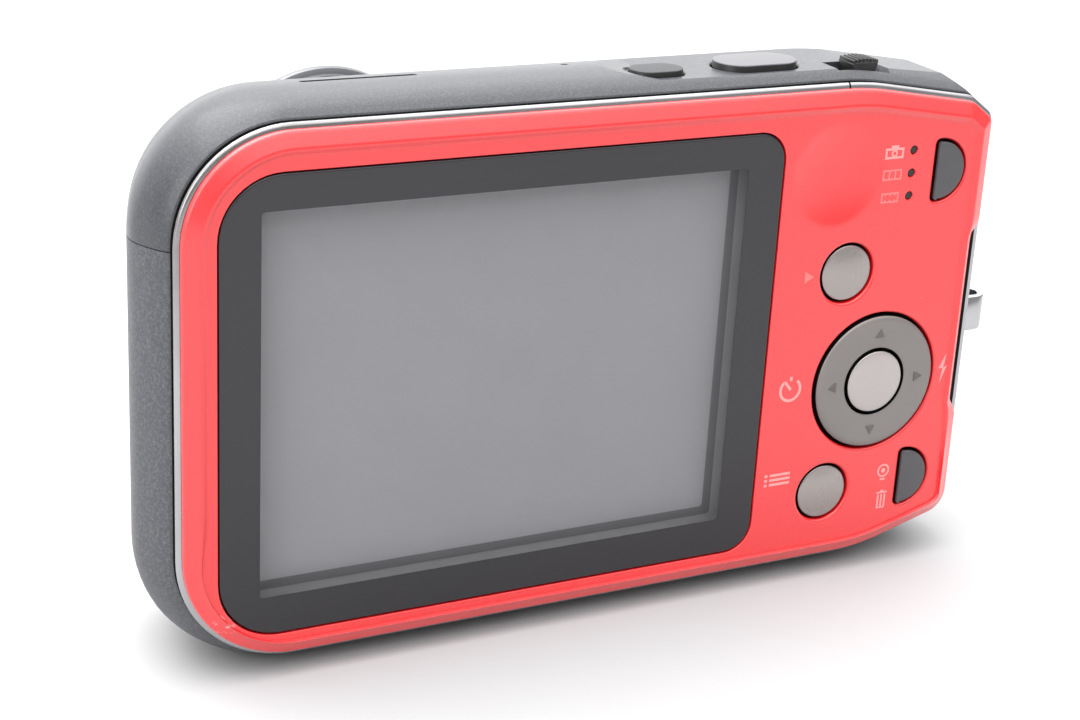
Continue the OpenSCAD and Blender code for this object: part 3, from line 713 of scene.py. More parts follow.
def rear_cover():
    """Red cover: a bevelled rim that steps down to a flat panel, with its openings and the thumb rest."""
    bm = bmesh.new()
    rim = [
        (COVER_BACK, -0.05, 1.0),
        (COVER_BACK - 0.05, 0.0, 1.0),
        (COVER_BACK - 0.36, 0.0, 1.0),
        (COVER_BACK - 0.50, -0.06, 1.0),
        (COVER_BACK - 0.62, -0.22, 1.0),
        (COVER_BACK - 0.72, -0.42, 0.95),
        (BACK + 0.10, -1.45, 0.45),
        (BACK + 0.02, -1.62, 0.40),
        (BACK, -1.78, 0.35),
        (BACK + 0.04, -1.95, 0.30),
        (PANEL - 0.07, -2.25, 0.20),
        (PANEL - 0.01, -2.42, 0.10),
        (PANEL, -2.60, 0.0),
        (PANEL, -2.68, 0.0),
    ]
    loops = [add_loop(bm, across_y(notched(rim_points(grow), depth), y)) for y, grow, depth in rim]
    bridge(bm, loops)
    front_loops = [loops[-1]]
    back_loops = [loops[0]]
    lights = [circle(lights_at.x, lights_at.z + i * LIGHT_PITCH, 0.5, 0.1) for i in (-1, 0, 1)]
    holes = [(GLASS, 0.15, 0.10), (RING, 0.0, 0.34), (PLAYBACK, 0.0, 0.34), (MENU, 0.0, 0.34)]
    holes += [(MODE, 0.0, 0.3), (HELP, 0.0, 0.3)] + [(light, 0.0, 0.12) for light in lights]
    for outline, extra, fillet in holes:
        rows = mouth_rows(fillet)
        hole = [add_loop(bm, across_y(outline.points(extra + grow), y)) for y, grow in rows]
        bridge(bm, hole)
        front_loops.append(hole[0])
        back_loops.append(hole[-1])
    thumb = circle(THUMB_X, THUMB_Z, 1.0, 0.06)
    dished = [(r, depth) for r, depth in thumb_rows() if r > THUMB_FLAT_R]
    dish = [add_loop(bm, across_y(thumb.points(r - 1.0), PANEL + depth)) for r, depth in dished]
    bridge(bm, dish)
    bm.faces.new(dish[-1])
    front_loops.append(dish[0])
    fill_flat(bm, front_loops)
    fill_flat(bm, back_loops)
    cover = make_object("rear_cover_skin", bm, 40)
    return dress(cover, ROOT, "rear_cover", slot="red_paint")


rear_cover()


# Trim and gasket ------------------------------------------------------------------------------


def trim_band():
    """Bright crowned band, with a joint in it near the zoom lever and one at the bottom."""
    rows = [
        (COVER_BACK + 0.06, -0.05),
        (COVER_BACK + 0.09, 0.22),
        (COVER_BACK + 0.17, 0.40),
        (COVER_BACK + 0.30, 0.53),
        (COVER_BACK + 0.44, 0.58),
        (COVER_BACK + 0.54, 0.53),
        (COVER_BACK + 0.60, 0.38),
        (COVER_BACK + 0.61, 0.05),
        (COVER_BACK + 0.61, -1.40),
        (COVER_BACK + 0.06, -1.40),
    ]
    band = stack("trim_band", rows, BODY, ring=True, sharp_angle=50)
    joints = bmesh.new()
    joint_w = 0.22
    for x, z in ((LEVER_X - 3.6, 59), (-7.2, 2)):
        block_mesh(joints, (x, COVER_BACK - 1, z - 3), (x + joint_w, SHELL_START + 1, z + 3))
    carve(band, joints, sharp_angle=50)
    dress(band, ROOT, "trim_frame", slot="bright_trim")
    # The gasket's near black is painted shade in the joint between the band and the shell.
    gasket_rows = [
        (COVER_BACK + 0.01, -1.35),
        (COVER_BACK + 0.01, -0.18),
        (SHELL_START + 0.18, -0.10),
        (SHELL_START + 0.22, 0.54),
        (SHELL_START + 0.36, 0.56),
        (SHELL_START + 0.36, -1.35),
    ]
    gasket = stack("trim_gasket", gasket_rows, BODY, ring=True)
    return dress(gasket, ROOT, finish="gap_shade_black")


trim_band()


# Screen ---------------------------------------------------------------------------------------


def screen():
    """Glass pane: a printed black border round a clear window, with the display behind it."""
    window = box_outline(
        screen_at.x - SCREEN_W / 2,
        screen_at.z - SCREEN_H / 2,
        screen_at.x + SCREEN_W / 2,
        screen_at.z + SCREEN_H / 2,
        0.35,
    )
    pane_back = glass_high.y
    border = bmesh.new()
    outer_rows = [
        (pane_back, -0.02),
        (PANEL + 0.26, 0.0),
        (PANEL + 0.14, -0.03),
        (PANEL + 0.06, -0.10),
        (PANEL + 0.03, -0.20),
        (PANEL + 0.03, -0.26),
    ]
    outer = [add_loop(border, across_y(GLASS.points(grow), y)) for y, grow in outer_rows]
    bridge(border, outer)
    inner_rows = [(PANEL + 0.03, 0.0), (PANEL + 0.06, 0.0), (PANEL + 0.16, 1.2), (pane_back, 1.2)]
    inner = [add_loop(border, across_y(window.points(grow), y)) for y, grow in inner_rows]
    bridge(border, inner)
    fill_flat(border, [outer[-1], inner[0]])
    fill_flat(border, [outer[0], inner[-1]])
    mask = make_object("screen_border", border, 40)
    dress(mask, ROOT, "screen_glass", slot="screen_glass")
    clear_rows = [
        (PANEL + 0.03, -0.02),
        (PANEL + 0.035, -0.01),
        (PANEL + 0.055, -0.01),
        (PANEL + 0.06, -0.02),
    ]
    clear = stack("screen_window", clear_rows, window)
    dress(clear, ROOT, finish="window_glass", slot="screen_glass")


screen()


def display():
    """Display plate: its active area, light grey as a painted reflection, the dark border round that and the
    lighter edge of the panel.
    """
    low, high = span("lcd_panel")
    plate = box_outline(low.x, low.z, high.x, high.z, 0.4)
    edge_rows = [(high.y, 0.0), (low.y + 0.12, 0.0), (low.y + 0.06, -0.06), (low.y + 0.06, -0.12)]
    dress(stack("display_plate", edge_rows, plate), ROOT, "lcd_panel", finish="display_edge", slot="display")
    layers = (
        ("display_border", 0.1, low.y + 0.06, "display_border"),
        ("display_area", -1.0, low.y + 0.03, "display"),
    )
    for name, past_window, level, finish in layers:
        outline = box_outline(
            screen_at.x - SCREEN_W / 2 - 0.3,
            screen_at.z - SCREEN_H / 2 - past_window,
            screen_at.x + SCREEN_W / 2 + past_window,
            screen_at.z + SCREEN_H / 2 + 0.3,
            0.2,
        )
        rows = [(level, 0.0), (level - 0.025, 0.0), (level - 0.03, -0.03)]
        dress(stack(name, rows, outline), ROOT, finish=finish, slot="display")


display()


# Rear keys ------------------------------------------------------------------------------------


def round_key(name, x, z):
    """Domed cap on a near-black skirt that paints the shade in the gap round it, with a flange behind the
    cover.
    """
    low, high = span(name)
    r = ROUND_HOLE_R - KEY_GAP - 0.1
    dome = 0.42
    split = low.y + 0.54
    rows = [(low.y + dome * (k / 7) ** 2.0, (r - 0.3) * k / 7) for k in range(1, 8)]
    rows += [(low.y + dome + 0.03, r - 0.14), (low.y + dome + 0.07, r - 0.05), (split, r)]
    cap = lathe(name + "_cap", rows, x, z, sharp_angle=40)
    dress(cap, name, slot="round_keys")
    skirt_rows = [(split, r - 0.02), (PANEL + 1.15, r - 0.02), (PANEL + 1.16, r + 0.7)]
    skirt_rows += [(PANEL + 1.65, r + 0.7), (PANEL + 1.7, 0.9), (high.y, 0.85)]
    skirt = lathe(name + "_skirt", skirt_rows, x, z)
    dress(skirt, name, name, finish="gap_shade_black", slot="round_keys")


def half_round_key(name, outline):
    """Flat cap on a near-black skirt that paints the shade in the gap round it, with a flange and a stem
    behind the cover.
    """
    low, high = span(name)
    split = low.y + 0.3
    rows = [(low.y, -KEY_GAP - 0.85), (low.y + 0.01, -KEY_GAP - 0.55)]
    rows += [(low.y + 0.05, -KEY_GAP - 0.34), (low.y + 0.12, -KEY_GAP - 0.18)]
    rows += [(low.y + 0.2, -KEY_GAP - 0.1), (split, -KEY_GAP - 0.08)]
    dress(stack(name + "_cap", rows, outline, sharp_angle=40), name, slot="half_round_keys")
    skirt_rows = [
        (split, -KEY_GAP - 0.1),
        (PANEL + 1.15, -KEY_GAP - 0.1),
        (PANEL + 1.16, 0.35),
        (PANEL + 1.7, 0.35),
    ]
    skirt = stack(name + "_skirt", skirt_rows, outline)
    stem = bmesh.new()
    centre = middle(name)
    stem_outline = circle(centre.x + 0.2, centre.z, 0.9, 0.2)
    stack_mesh(stem, [(PANEL + 1.5, 0.0), (high.y - 0.05, 0.0), (high.y, -0.05)], stem_outline)
    carve(skirt, stem, "UNION", 40)
    dress(skirt, name, name, finish="gap_shade_black", slot="half_round_keys")


def control_ring():
    """Four-way ring: a satin cap with four small raised arrows on a near-black base that paints the shade in
    the gap round it.
    """
    low, high = span("control_ring")
    outer = RING_HOLE_R - KEY_GAP - 0.15
    inner = centre_r + 0.42
    split = low.y + 0.34
    cap_rows = [
        (split, inner + 0.02),
        (low.y + 0.31, inner + 0.06),
        (low.y + 0.27, inner + 0.20),
        (low.y + 0.24, inner + 0.45),
        (low.y + 0.12, (inner + outer) / 2),
        (low.y + 0.03, outer - 1.1),
        (low.y + 0.03, outer - 0.7),
        (low.y + 0.08, outer - 0.35),
        (low.y + 0.17, outer - 0.14),
        (low.y + 0.27, outer - 0.03),
        (split, outer),
    ]
    cap = lathe("control_ring_cap", cap_rows, ring_at.x, ring_at.z, ring=True, sharp_angle=50)
    dress(cap, "control_ring", slot="ring_plastic")
    base_rows = [
        (split, inner + 0.04),
        (split, outer - 0.06),
        (PANEL + 1.55, outer - 0.06),
        (PANEL + 1.56, outer + 1.0),
        (high.y, outer + 1.0),
        (high.y, inner + 0.04),
    ]
    base = lathe("control_ring_base", base_rows, ring_at.x, ring_at.z, ring=True)
    dress(base, "control_ring", "control_ring", finish="gap_shade_black", slot="ring_plastic")
    arrows = bmesh.new()
    reach = (inner + outer) / 2
    half = 0.62
    for quarter in range(4):
        a = math.pi / 2 * quarter
        out = Vector((math.cos(a), math.sin(a)))
        side = Vector((-out.y, out.x))
        centre = Vector((ring_at.x, ring_at.z)) + reach * out
        points = [centre + out * half, centre - out * half + side * half, centre - out * half - side * half]
        prism_mesh(arrows, points, low.y + 0.04, low.y + 0.3)
    marks = make_object("control_ring_arrows", arrows)
    bevelled(marks, 0.06)
    dress(marks, "control_ring", finish="ring_mark", slot="ring_plastic")


def centre_button():
    """Domed cap that stands out of the ring, on a near-black skirt that paints the shade in the gap round it.
    """
    low, high = span("centre_button")
    r = centre_r
    dome = 0.2
    split = low.y + 0.33
    rows = [(low.y + dome * (k / 7) ** 2.2, (r - 0.32) * k / 7) for k in range(1, 8)]
    rows += [(low.y + dome + 0.04, r - 0.16), (low.y + dome + 0.09, r - 0.05), (split, r - 0.02)]
    cap = lathe("centre_button_cap", rows, ring_at.x, ring_at.z, sharp_angle=40)
    dress(cap, "centre_button", slot="centre_key")
    skirt_rows = [(split, r - 0.04), (PANEL + 1.9, r - 0.04), (PANEL + 1.9, 1.0), (high.y, 1.0)]
    skirt = lathe("centre_button_skirt", skirt_rows, ring_at.x, ring_at.z)
    dress(skirt, "centre_button", "centre_button", finish="gap_shade_black", slot="centre_key")


def mode_lights():
    """Three dark light guides with domed ends."""
    low, high = span("mode_lights")
    r = (high.x - low.x) / 2
    guides = bmesh.new()
    for i in (-1, 0, 1):
        guide = circle(lights_at.x, lights_at.z + i * LIGHT_PITCH, r, 0.08)
        rows = [(low.y, -0.3), (low.y + 0.03, -0.2), (low.y + 0.09, -0.07), (low.y + 0.2, 0.0), (high.y, 0.0)]
        stack_mesh(guides, rows, guide)
    dress(make_object("mode_light_guides", guides), ROOT, "mode_lights", slot="light_guide")


centre_r = radius_of("centre_button")
round_key("playback_button", playback_at.x, playback_at.z)
round_key("menu_button", menu_at.x, menu_at.z)
half_round_key("mode_button", MODE)
half_round_key("help_button", HELP)
control_ring()
centre_button()
mode_lights()


# Body shell -----------------------------------------------------------------------------------

# y, swell past the outline, extra to each side, shift in z: the same sections as the CAD model's
BODY_PROFILE = [
    (-7.65, 1.45, 0.1, 0),
    (-6.05, 2.15, 0.25, 0),
    (-4.05, 2.5, 0.55, 0),
    (-1.85, 2.5, 0.4, 0),
    (0.65, 2.33, -0.2, -0.17),
    (3.65, 1.95, -0.7, -0.5),
    (6.65, 1.45, -1.2, -0.95),
    (8.95, 0.55, -1.35, -1.25),
    (9.7, -0.05, -1.42, -1.28),
    (FACE - 0.12, -0.62, -1.48, -1.3),
    (FACE, -0.95, -1.5, -1.3),
]
# The rounded lip where the skin begins, in the same terms
LIP = [
    (SHELL_START + 0.30, 0.40, 0, 0),
    (SHELL_START + 0.32, 0.60, 0, 0),
    (SHELL_START + 0.40, 0.76, 0.02, 0),
    (SHELL_START + 0.55, 0.89, 0.04, 0),
]
WALL = 1.45
BODY_MIDDLE = (0, 0, 30)
SEAM = 0.11

# The flat deck under the top controls, from left to right, and its fall to the right corner
DECK_Z = 61.05
DECK_LINE = [(-0.5, 61.95), (5, DECK_Z), (31, DECK_Z), (42.5, 59.45)]
DECK_LINE += [(44.6, 57.9), (46.3, 56.5), (48, 54.8), (51, 51.5)]
TOP_WALL = 2.3
UNDER_TOP_WALL = 55
POWER_SIZE = (6.2, 4.0)
SHUTTER_SIZE = (10.0, 5.6)
TOP_KEY_GAP = 0.2


def section_at(y):
    """Body section at y, on a smooth curve through the profile."""
    rows = LIP[-1:] + BODY_PROFILE
    i = max(0, min(len(rows) - 2, sum(1 for r in rows if r[0] <= y) - 1))
    a, b = rows[i], rows[i + 1]
    before, after = rows[max(i - 1, 0)], rows[min(i + 2, len(rows) - 1)]
    gap = b[0] - a[0]
    t = (y - a[0]) / gap
    values = []
    for k in (1, 2, 3):
        rise_a = (b[k] - before[k]) / (b[0] - before[0]) * gap
        rise_b = (after[k] - a[k]) / (after[0] - a[0]) * gap
        values.append(
            (2 * t**3 - 3 * t**2 + 1) * a[k]
            + (t**3 - 2 * t**2 + t) * rise_a
            + (3 * t**2 - 2 * t**3) * b[k]
            + (t**3 - t**2) * rise_b
        )
    return values


def stations():
    """Every y at which the body skin has a section."""
    breaks = [row[0] for row in LIP[-1:] + BODY_PROFILE]
    found = [breaks[0]]
    for a, b in zip(breaks, breaks[1:]):
        steps = max(1, math.ceil((b - a) / 0.4))
        found += [a + (b - a) * k / steps for k in range(1, steps + 1)]
    return found


def skin_points(y):
    grow, side, lift = section_at(y)
    return [Vector((p.x, y, p.y + lift)) for p in BODY.points(grow, side)]


def body_skin():
    """The whole outer skin, open at the rear, with a flat face at the front."""
    bm = bmesh.new()
    loops = []
    for y, grow, side, lift in LIP[:-1]:
        loops.append(add_loop(bm, [Vector((p.x, y, p.y + lift)) for p in BODY.points(grow, side)]))
    loops += [add_loop(bm, skin_points(y)) for y in stations()]
    bridge(bm, loops)
    bm.faces.new(loops[-1])
    bmesh.ops.recalc_face_normals(bm, faces=bm.faces[:])
    return bm


def part_of_skin(skin, keep, cuts):
    """A copy of the skin cut along planes, keeping the faces whose middle passes keep."""
    bm = skin.copy()
    for co, normal in cuts:
        geometry = bm.verts[:] + bm.edges[:] + bm.faces[:]
        bmesh.ops.bisect_plane(bm, geom=geometry, plane_co=co, plane_no=normal)
    lost = [f for f in bm.faces if not keep(f.calc_center_median())]
    bmesh.ops.delete(bm, geom=lost, context="FACES")
    return bm


def make_skin_object(name, bm, thickness):
    """Turns an open piece of skin outward and gives it its wall, on the inside."""
    bmesh.ops.recalc_face_normals(bm, faces=bm.faces[:])
    if sum(f.normal.dot(f.calc_center_median() - Vector(BODY_MIDDLE)) for f in bm.faces) < 0:
        bmesh.ops.reverse_faces(bm, faces=bm.faces[:])
    obj = make_object(name, bm)
    wall = obj.modifiers.new("wall", "SOLIDIFY")
    wall.thickness = thickness * MM
    wall.offset = -1
    wall.use_even_offset = True
    wall.use_quality_normals = True
    apply_modifiers(obj)
    return shade(obj)


SKIN = body_skin()
Z_AXIS = (0, 0, 1)
X_AXIS = (1, 0, 0)
Y_AXIS = (0, 1, 0)


def mouth(bm, outline, top, flare=0.22):
    """Cutter for an opening in the top: straight, with a flared edge at the surface."""
    rows = [(UNDER_TOP_WALL, 0.0), (top - flare, 0.0), (top - 0.07, flare * 0.35), (top, flare)]
    rows += [(top + 3, flare + 3 * 0.6)]
    stack_mesh(bm, rows, outline, across_z)


def fan_points(x, z, r0, r1, half, steps=16):
    degrees = [90 - half + 2 * half * k / steps for k in range(steps + 1)]
    return arc_points(x, z, r1, degrees) + arc_points(x, z, r0, reversed(degrees))


def top_cover():
    """Top of the body, cut down to the deck, with openings for keys, lever, speaker and microphone."""
    cuts = [((0, 0, SEAM_Z + SEAM), Z_AXIS), ((0, SPLIT_Y - SEAM, 0), Y_AXIS)]
    bm = part_of_skin(SKIN, lambda c: c.z > SEAM_Z + SEAM and c.y < SPLIT_Y - SEAM, cuts)
    cover = make_skin_object("top_cover_skin", bm, TOP_WALL)
    above_deck = bmesh.new()
    past_end = DECK_LINE[-1][0] + 2
    outline = DECK_LINE + [(past_end, DECK_LINE[-1][1]), (past_end, 70), (DECK_LINE[0][0], 70)]
    prism_mesh(above_deck, outline, BACK, SPLIT_Y + 1)
    carve(cover, above_deck, sharp_angle=12)
    openings = bmesh.new()
    power_hole = oval(power_at.x, power_at.y, *(size + 2 * TOP_KEY_GAP for size in POWER_SIZE))
    shutter_hole = oval(shutter_at.x, shutter_at.y, *(size + 2 * TOP_KEY_GAP for size in SHUTTER_SIZE))
    mouth(openings, power_hole, DECK_Z)
    mouth(openings, shutter_hole, DECK_Z)
    half = LEVER_HALF + LEVER_TURN + 2
    slot_y = (lever_low.y - 0.25, lever_high.y + 0.25)
    prism_mesh(openings, fan_points(LEVER_X, LEVER_PIVOT_Z, 3, 14, half), *slot_y)
    mouth(openings, oval(lens_at.x - 0.75, -1.5, 12.7, 0.7), 61.87, 0.1)
    microphone = middle("microphone")
    mouth(openings, circle(microphone.x, microphone.y, 0.4, 0.1), 61.85, 0.12)
    carve(cover, openings, sharp_angle=12)
    return dress(cover, ROOT, "top_cover", slot="shell_satin")


def side_cover():
    """Left end of the body, with the small slot in its side."""
    cuts = [
        ((0, 0, SEAM_Z), Z_AXIS),
        ((SEAM_X - SEAM, 0, 0), X_AXIS),
        ((0, SPLIT_Y - SEAM, 0), Y_AXIS),
    ]
    limit = SEAM_X - SEAM
    bm = part_of_skin(SKIN, lambda c: c.z < SEAM_Z and c.x < limit and c.y < SPLIT_Y - SEAM, cuts)
    cover = make_skin_object("side_cover_skin", bm, WALL)
    slot = bmesh.new()
    low_z, high_z = 26.6, 32.6
    outline = Outline([(-0.4, low_z + 0.8, 0.8, 180, 360), (-0.4, high_z - 0.8, 0.8, 0, 180)], 0.2)
    stack_mesh(slot, [(LEFT - 1, 0.35), (LEFT + 0.25, 0.05), (LEFT + 3, 0)], outline, across_x)
    carve(cover, slot)
    dress(cover, ROOT, "side_cover", slot="shell_texture")
    # The near-black floor set inside the slot is painted shade.
    cup = bmesh.new()
    stack_mesh(cup, [(LEFT + 1.2, 0.5), (LEFT + 1.9, 0.5)], outline, across_x)
    dress(make_object("side_slot_floor", cup), ROOT, finish="gap_shade_black")


def front_shell():
    """Front and bottom of the body, cut out for the door, lens ring, flash, lamp and lug."""
    cuts = [
        ((0, 0, SEAM_Z), Z_AXIS),
        ((SEAM_X, 0, 0), X_AXIS),
        ((0, SPLIT_Y, 0), Y_AXIS),
    ]

    def keep(c):
        return c.y > SPLIT_Y or (c.z < SEAM_Z and c.x > SEAM_X)

    shell = make_skin_object("front_shell_skin", part_of_skin(SKIN, keep, cuts), WALL)
    cuts_bm = bmesh.new()
    door_low, door_high = span("battery_door")
    gap = 0.15
    block_mesh(cuts_bm, (door_low.x - gap, door_low.y - gap, -1), (HINGE_X - 3.6, door_high.y + gap, 6))
    block_mesh(
        cuts_bm,
        (HINGE_X - 3.7, HINGE_Y[0] - gap, -1.01),
        (door_high.x + gap, HINGE_Y[1] + gap + 0.01, 6.01),
    )
    stack_mesh(cuts_bm, [(-1, 0.1), (6, 0.1)], circle(tripod_at.x, tripod_at.y, tripod_r), across_z)
    stack_mesh(cuts_bm, [(8.5, 0.05), (FACE + 2, 0.05)], circle(lens_at.x, lens_at.z, LENS_RING_R))
    flash_low, flash_high = span("flash_window")
    flash_near = (flash_low.x - 0.05, 8.5, flash_low.z - 0.05)
    flash_far = (flash_high.x + 0.05, 12, flash_high.z + 0.05)
    block_mesh(cuts_bm, flash_near, flash_far)
    lamp = middle("af_lamp")
    stack_mesh(cuts_bm, [(8, 0.0), (12, 0.0)], circle(lamp.x, lamp.z, 2.0))
    lug = middle("strap_lug")
    stack_mesh(cuts_bm, [(24, 0.0), (37, 0.0)], circle(RIGHT + 1, lug.y, 2.2), across_z)
    carve(shell, cuts_bm)
    return dress(shell, ROOT, "front_shell", slot="shell_texture")


HINGE_X = span("battery_door")[1].x - 1.1
HINGE_Z = 1.15
HINGE_Y = (-3.6, 6.4)
tripod_at = middle("tripod_socket")
tripod_r = radius_of("tripod_socket")
top_cover()
side_cover()
front_shell()


# Strap lug ------------------------------------------------------------------------------------


def strap_lug():
    """Steel strip bent into a U, with its legs in the shell."""
    low, high = span("strap_lug")
    strip = 0.8
    r = (high.y - low.y) / 2
    mid_y = (low.y + high.y) / 2
    tip = high.x - r
    inner_r = r - strip
    degrees = [-90 + 180 * k / 24 for k in range(25)]
    points = [(low.x, mid_y - r)] + arc_points(tip, mid_y, r, degrees) + [(low.x, mid_y + r)]
    points += [(low.x, mid_y + inner_r)] + arc_points(tip, mid_y, inner_r, reversed(degrees))
    points += [(low.x, mid_y - inner_r)]
    bm = bmesh.new()
    prism_mesh(bm, points, low.z, high.z, across_z)
    lug = bevelled(make_object("strap_lug_strip", bm), 0.14, 3)
    return dress(shade(lug), ROOT, "strap_lug", slot="lug_steel")


strap_lug()


# Top controls ---------------------------------------------------------------------------------


def top_key(name, size, skirt_top, crown, finish):
    """An oval key: a satin cap on a black plastic skirt that also paints the shade in the gap round it, with
    a flange under the cover.
    """
    low, high = span(name)
    centre = middle(name)
    depth = size[1]
    outline = oval(centre.x, centre.y, *size, 0.2)
    cap_rows = [
        (skirt_top, -0.08),
        (skirt_top + 0.03, -0.02),
        (high.z - crown, -0.06),
        (high.z - crown * 0.8, -0.20),
        (high.z - crown * 0.5, -depth * 0.14),
        (high.z - crown * 0.2, -depth * 0.27),
        (high.z, -depth * 0.40),
    ]
    cap = stack(name + "_cap", cap_rows, outline, across_z, sharp_angle=40)
    dress(cap, name, finish=finish, slot=finish)
    flange = 58.5
    skirt_rows = [(skirt_top, -0.06), (skirt_top - 0.1, 0.0), (flange + 0.5, 0.0), (flange + 0.5, 0.12)]
    skirt_rows += [(flange, 0.12), (flange, -1.0), (low.z, -1.02)]
    skirt = stack(name + "_skirt", skirt_rows, outline, across_z)
    # The skirt is black plastic that also stands for the shade in the gap round the key.
    dress(skirt, name, name, finish="black_plastic", slot=finish)


def zoom_lever():
    """Black lever in its slot, with ribs across the top of its arc."""
    ribs = 7
    r_low = 3.6
    points = []
    for k in range(ribs):
        start = 90 + LEVER_HALF - 2 * LEVER_HALF * k / ribs
        step = 2 * LEVER_HALF / ribs
        for share, drop in ((0.0, 0.36), (0.22, 0.36), (0.38, 0.0), (0.84, 0.0), (1.0, 0.36)):
            a = math.radians(start - step * share)
            r = LEVER_R - drop
            points.append((LEVER_X + r * math.cos(a), LEVER_PIVOT_Z + r * math.sin(a)))
    for end in (-1, 1):
        a = math.radians(90 + end * LEVER_HALF * 0.9)
        points.append((LEVER_X + r_low * math.cos(a), LEVER_PIVOT_Z + r_low * math.sin(a)))
    bm = bmesh.new()
    prism_mesh(bm, points, lever_low.y, lever_high.y)
    lever = bevelled(make_object("zoom_lever_blade", bm), 0.09, 2, 20)
    dress(shade(lever, 45), "zoom_lever", "zoom_lever", slot="lever_black")
    hub_rows = [(LEVER_HUB_Y, 0.65), (LEVER_HUB_Y, 1.25), (LEVER_HUB_Y + 0.08, 1.3)]
    hub_rows += [(lever_high.y - 0.1, 1.3), (lever_high.y - 0.02, 1.25), (lever_high.y - 0.02, 0.65)]
    hub = lathe("zoom_lever_hub", hub_rows, LEVER_X, LEVER_PIVOT_Z, segments=40, ring=True)
    dress(hub, "zoom_lever", slot="lever_black")
    web = bmesh.new()
    fan = fan_points(LEVER_X, LEVER_PIVOT_Z, 1.2, 3.8, 11, 6)
    prism_mesh(web, fan, LEVER_HUB_Y + 0.2, lever_high.y - 0.3)
    dress(make_object("zoom_lever_web", web), "zoom_lever", slot="lever_black")


top_key("power_button", POWER_SIZE, 61.5, 0.1, "power_key")
top_key("shutter_button", SHUTTER_SIZE, 61.62, 0.16, "shutter_key")
zoom_lever()


# Bottom door, lock and tripod socket ------------------------------------------------------------


def bottom_patch(name, low, high, thickness, extra=()):
    """A piece of the body's bottom skin between two corners in x and y."""
    cuts = [
        ((low[0], 0, 0), X_AXIS),
        ((high[0], 0, 0), X_AXIS),
        ((0, low[1], 0), Y_AXIS),
        ((0, high[1], 0), Y_AXIS),
    ]
    holes = list(extra)
    for a, b in holes:
        cuts += [((x, 0, 0), X_AXIS) for x in (a[0], b[0])]
        cuts += [((0, y, 0), Y_AXIS) for y in (a[1], b[1])]

    def inside(c, a, b):
        return a[0] < c.x < b[0] and a[1] < c.y < b[1]

    def keep(c):
        return c.z < 6 and inside(c, low, high) and not any(inside(c, a, b) for a, b in holes)

    bm = part_of_skin(SKIN, keep, cuts)
    return make_skin_object(name, bm, thickness)


def battery_door():
    """Bottom door: a piece of the skin with a window for its lock, an arm and a hinge knuckle."""
    low, high = span("battery_door")
    lock_high = span("door_lock")[1]
    lock_travel = 2.5
    window = ((low.x - 1, low.y - 1), (lock_high.x + lock_travel + 0.2, lock_high.y + 0.15))
    panel_end = HINGE_X - 3.75
    door = bottom_patch("battery_door_skin", (low.x, low.y), (panel_end, high.y), 1.5, [window])
    dress(door, "battery_door", "battery_door", slot="shell_texture")
    arm = bmesh.new()
    block_mesh(arm, (panel_end - 0.4, HINGE_Y[0], 0.3), (HINGE_X - 0.6, HINGE_Y[1], 1.95))
    dress(bevelled(make_object("battery_door_arm", arm), 0.15), "battery_door", slot="shell_texture")
    knuckle_rows = [(HINGE_Y[0], 0.55), (HINGE_Y[0], 1.0), (HINGE_Y[0] + 0.1, 1.1)]
    knuckle_rows += [(HINGE_Y[1] - 0.1, 1.1), (HINGE_Y[1], 1.0), (HINGE_Y[1], 0.55)]
    knuckle = lathe("battery_door_knuckle", knuckle_rows, HINGE_X, HINGE_Z, segments=40, ring=True)
    dress(knuckle, "battery_door", slot="shell_texture")
    knuckles = ((HINGE_Y[0] - 0.8, HINGE_Y[0] + 1.5), (HINGE_Y[1] - 1.5, HINGE_Y[1] + 0.8))
    for i, (start, end) in enumerate(knuckles):
        rows = [(start, 0.42), (start + 0.08, 0.5), (end - 0.08, 0.5), (end, 0.42)]
        dress(lathe(f"hinge_pivot_{i + 1}", rows, HINGE_X, HINGE_Z, segments=32), ROOT, slot="shell_texture")


def door_lock():
    """Black sliding lock with grip ridges across it."""
    low, high = span("door_lock")
    lock = bottom_patch("door_lock_slider", (low.x, low.y), (high.x, high.y), 1.4)
    grooves = bmesh.new()
    for k in range(6):
        x = low.x + 3.4 + 0.7 * k
        block_mesh(grooves, (x, low.y + 0.9, -1), (x + 0.32, high.y - 0.9, low.z + 0.42))
    carve(lock, grooves)
    dress(lock, "door_lock", "door_lock", slot="black_plastic")


def tripod_socket():
    """Plated insert with a threaded bore."""
    low, high = span("tripod_socket")
    bore = 3.2
    pitch = 1.27
    turns = 4
    rows = [(low.z, bore + 0.35), (low.z, tripod_r - 0.12), (low.z + 0.12, tripod_r), (high.z, tripod_r)]
    rows += [(high.z, 0.3), (high.z - 0.9, 0.3), (high.z - 0.9, bore)]
    for k in range(turns):
        z = high.z - 0.95 - pitch * k
        rows += [(z - 0.10, bore), (z - 0.45, bore - 0.42), (z - 0.65, bore - 0.42), (z - 1.0, bore)]
    insert = lathe("tripod_insert", rows, tripod_at.x, tripod_at.y, "Z", ring=True, sharp_angle=25)
    dress(insert, ROOT, "tripod_socket", slot="socket_metal")


battery_door()
door_lock()
tripod_socket()


# Front ----------------------------------------------------------------------------------------


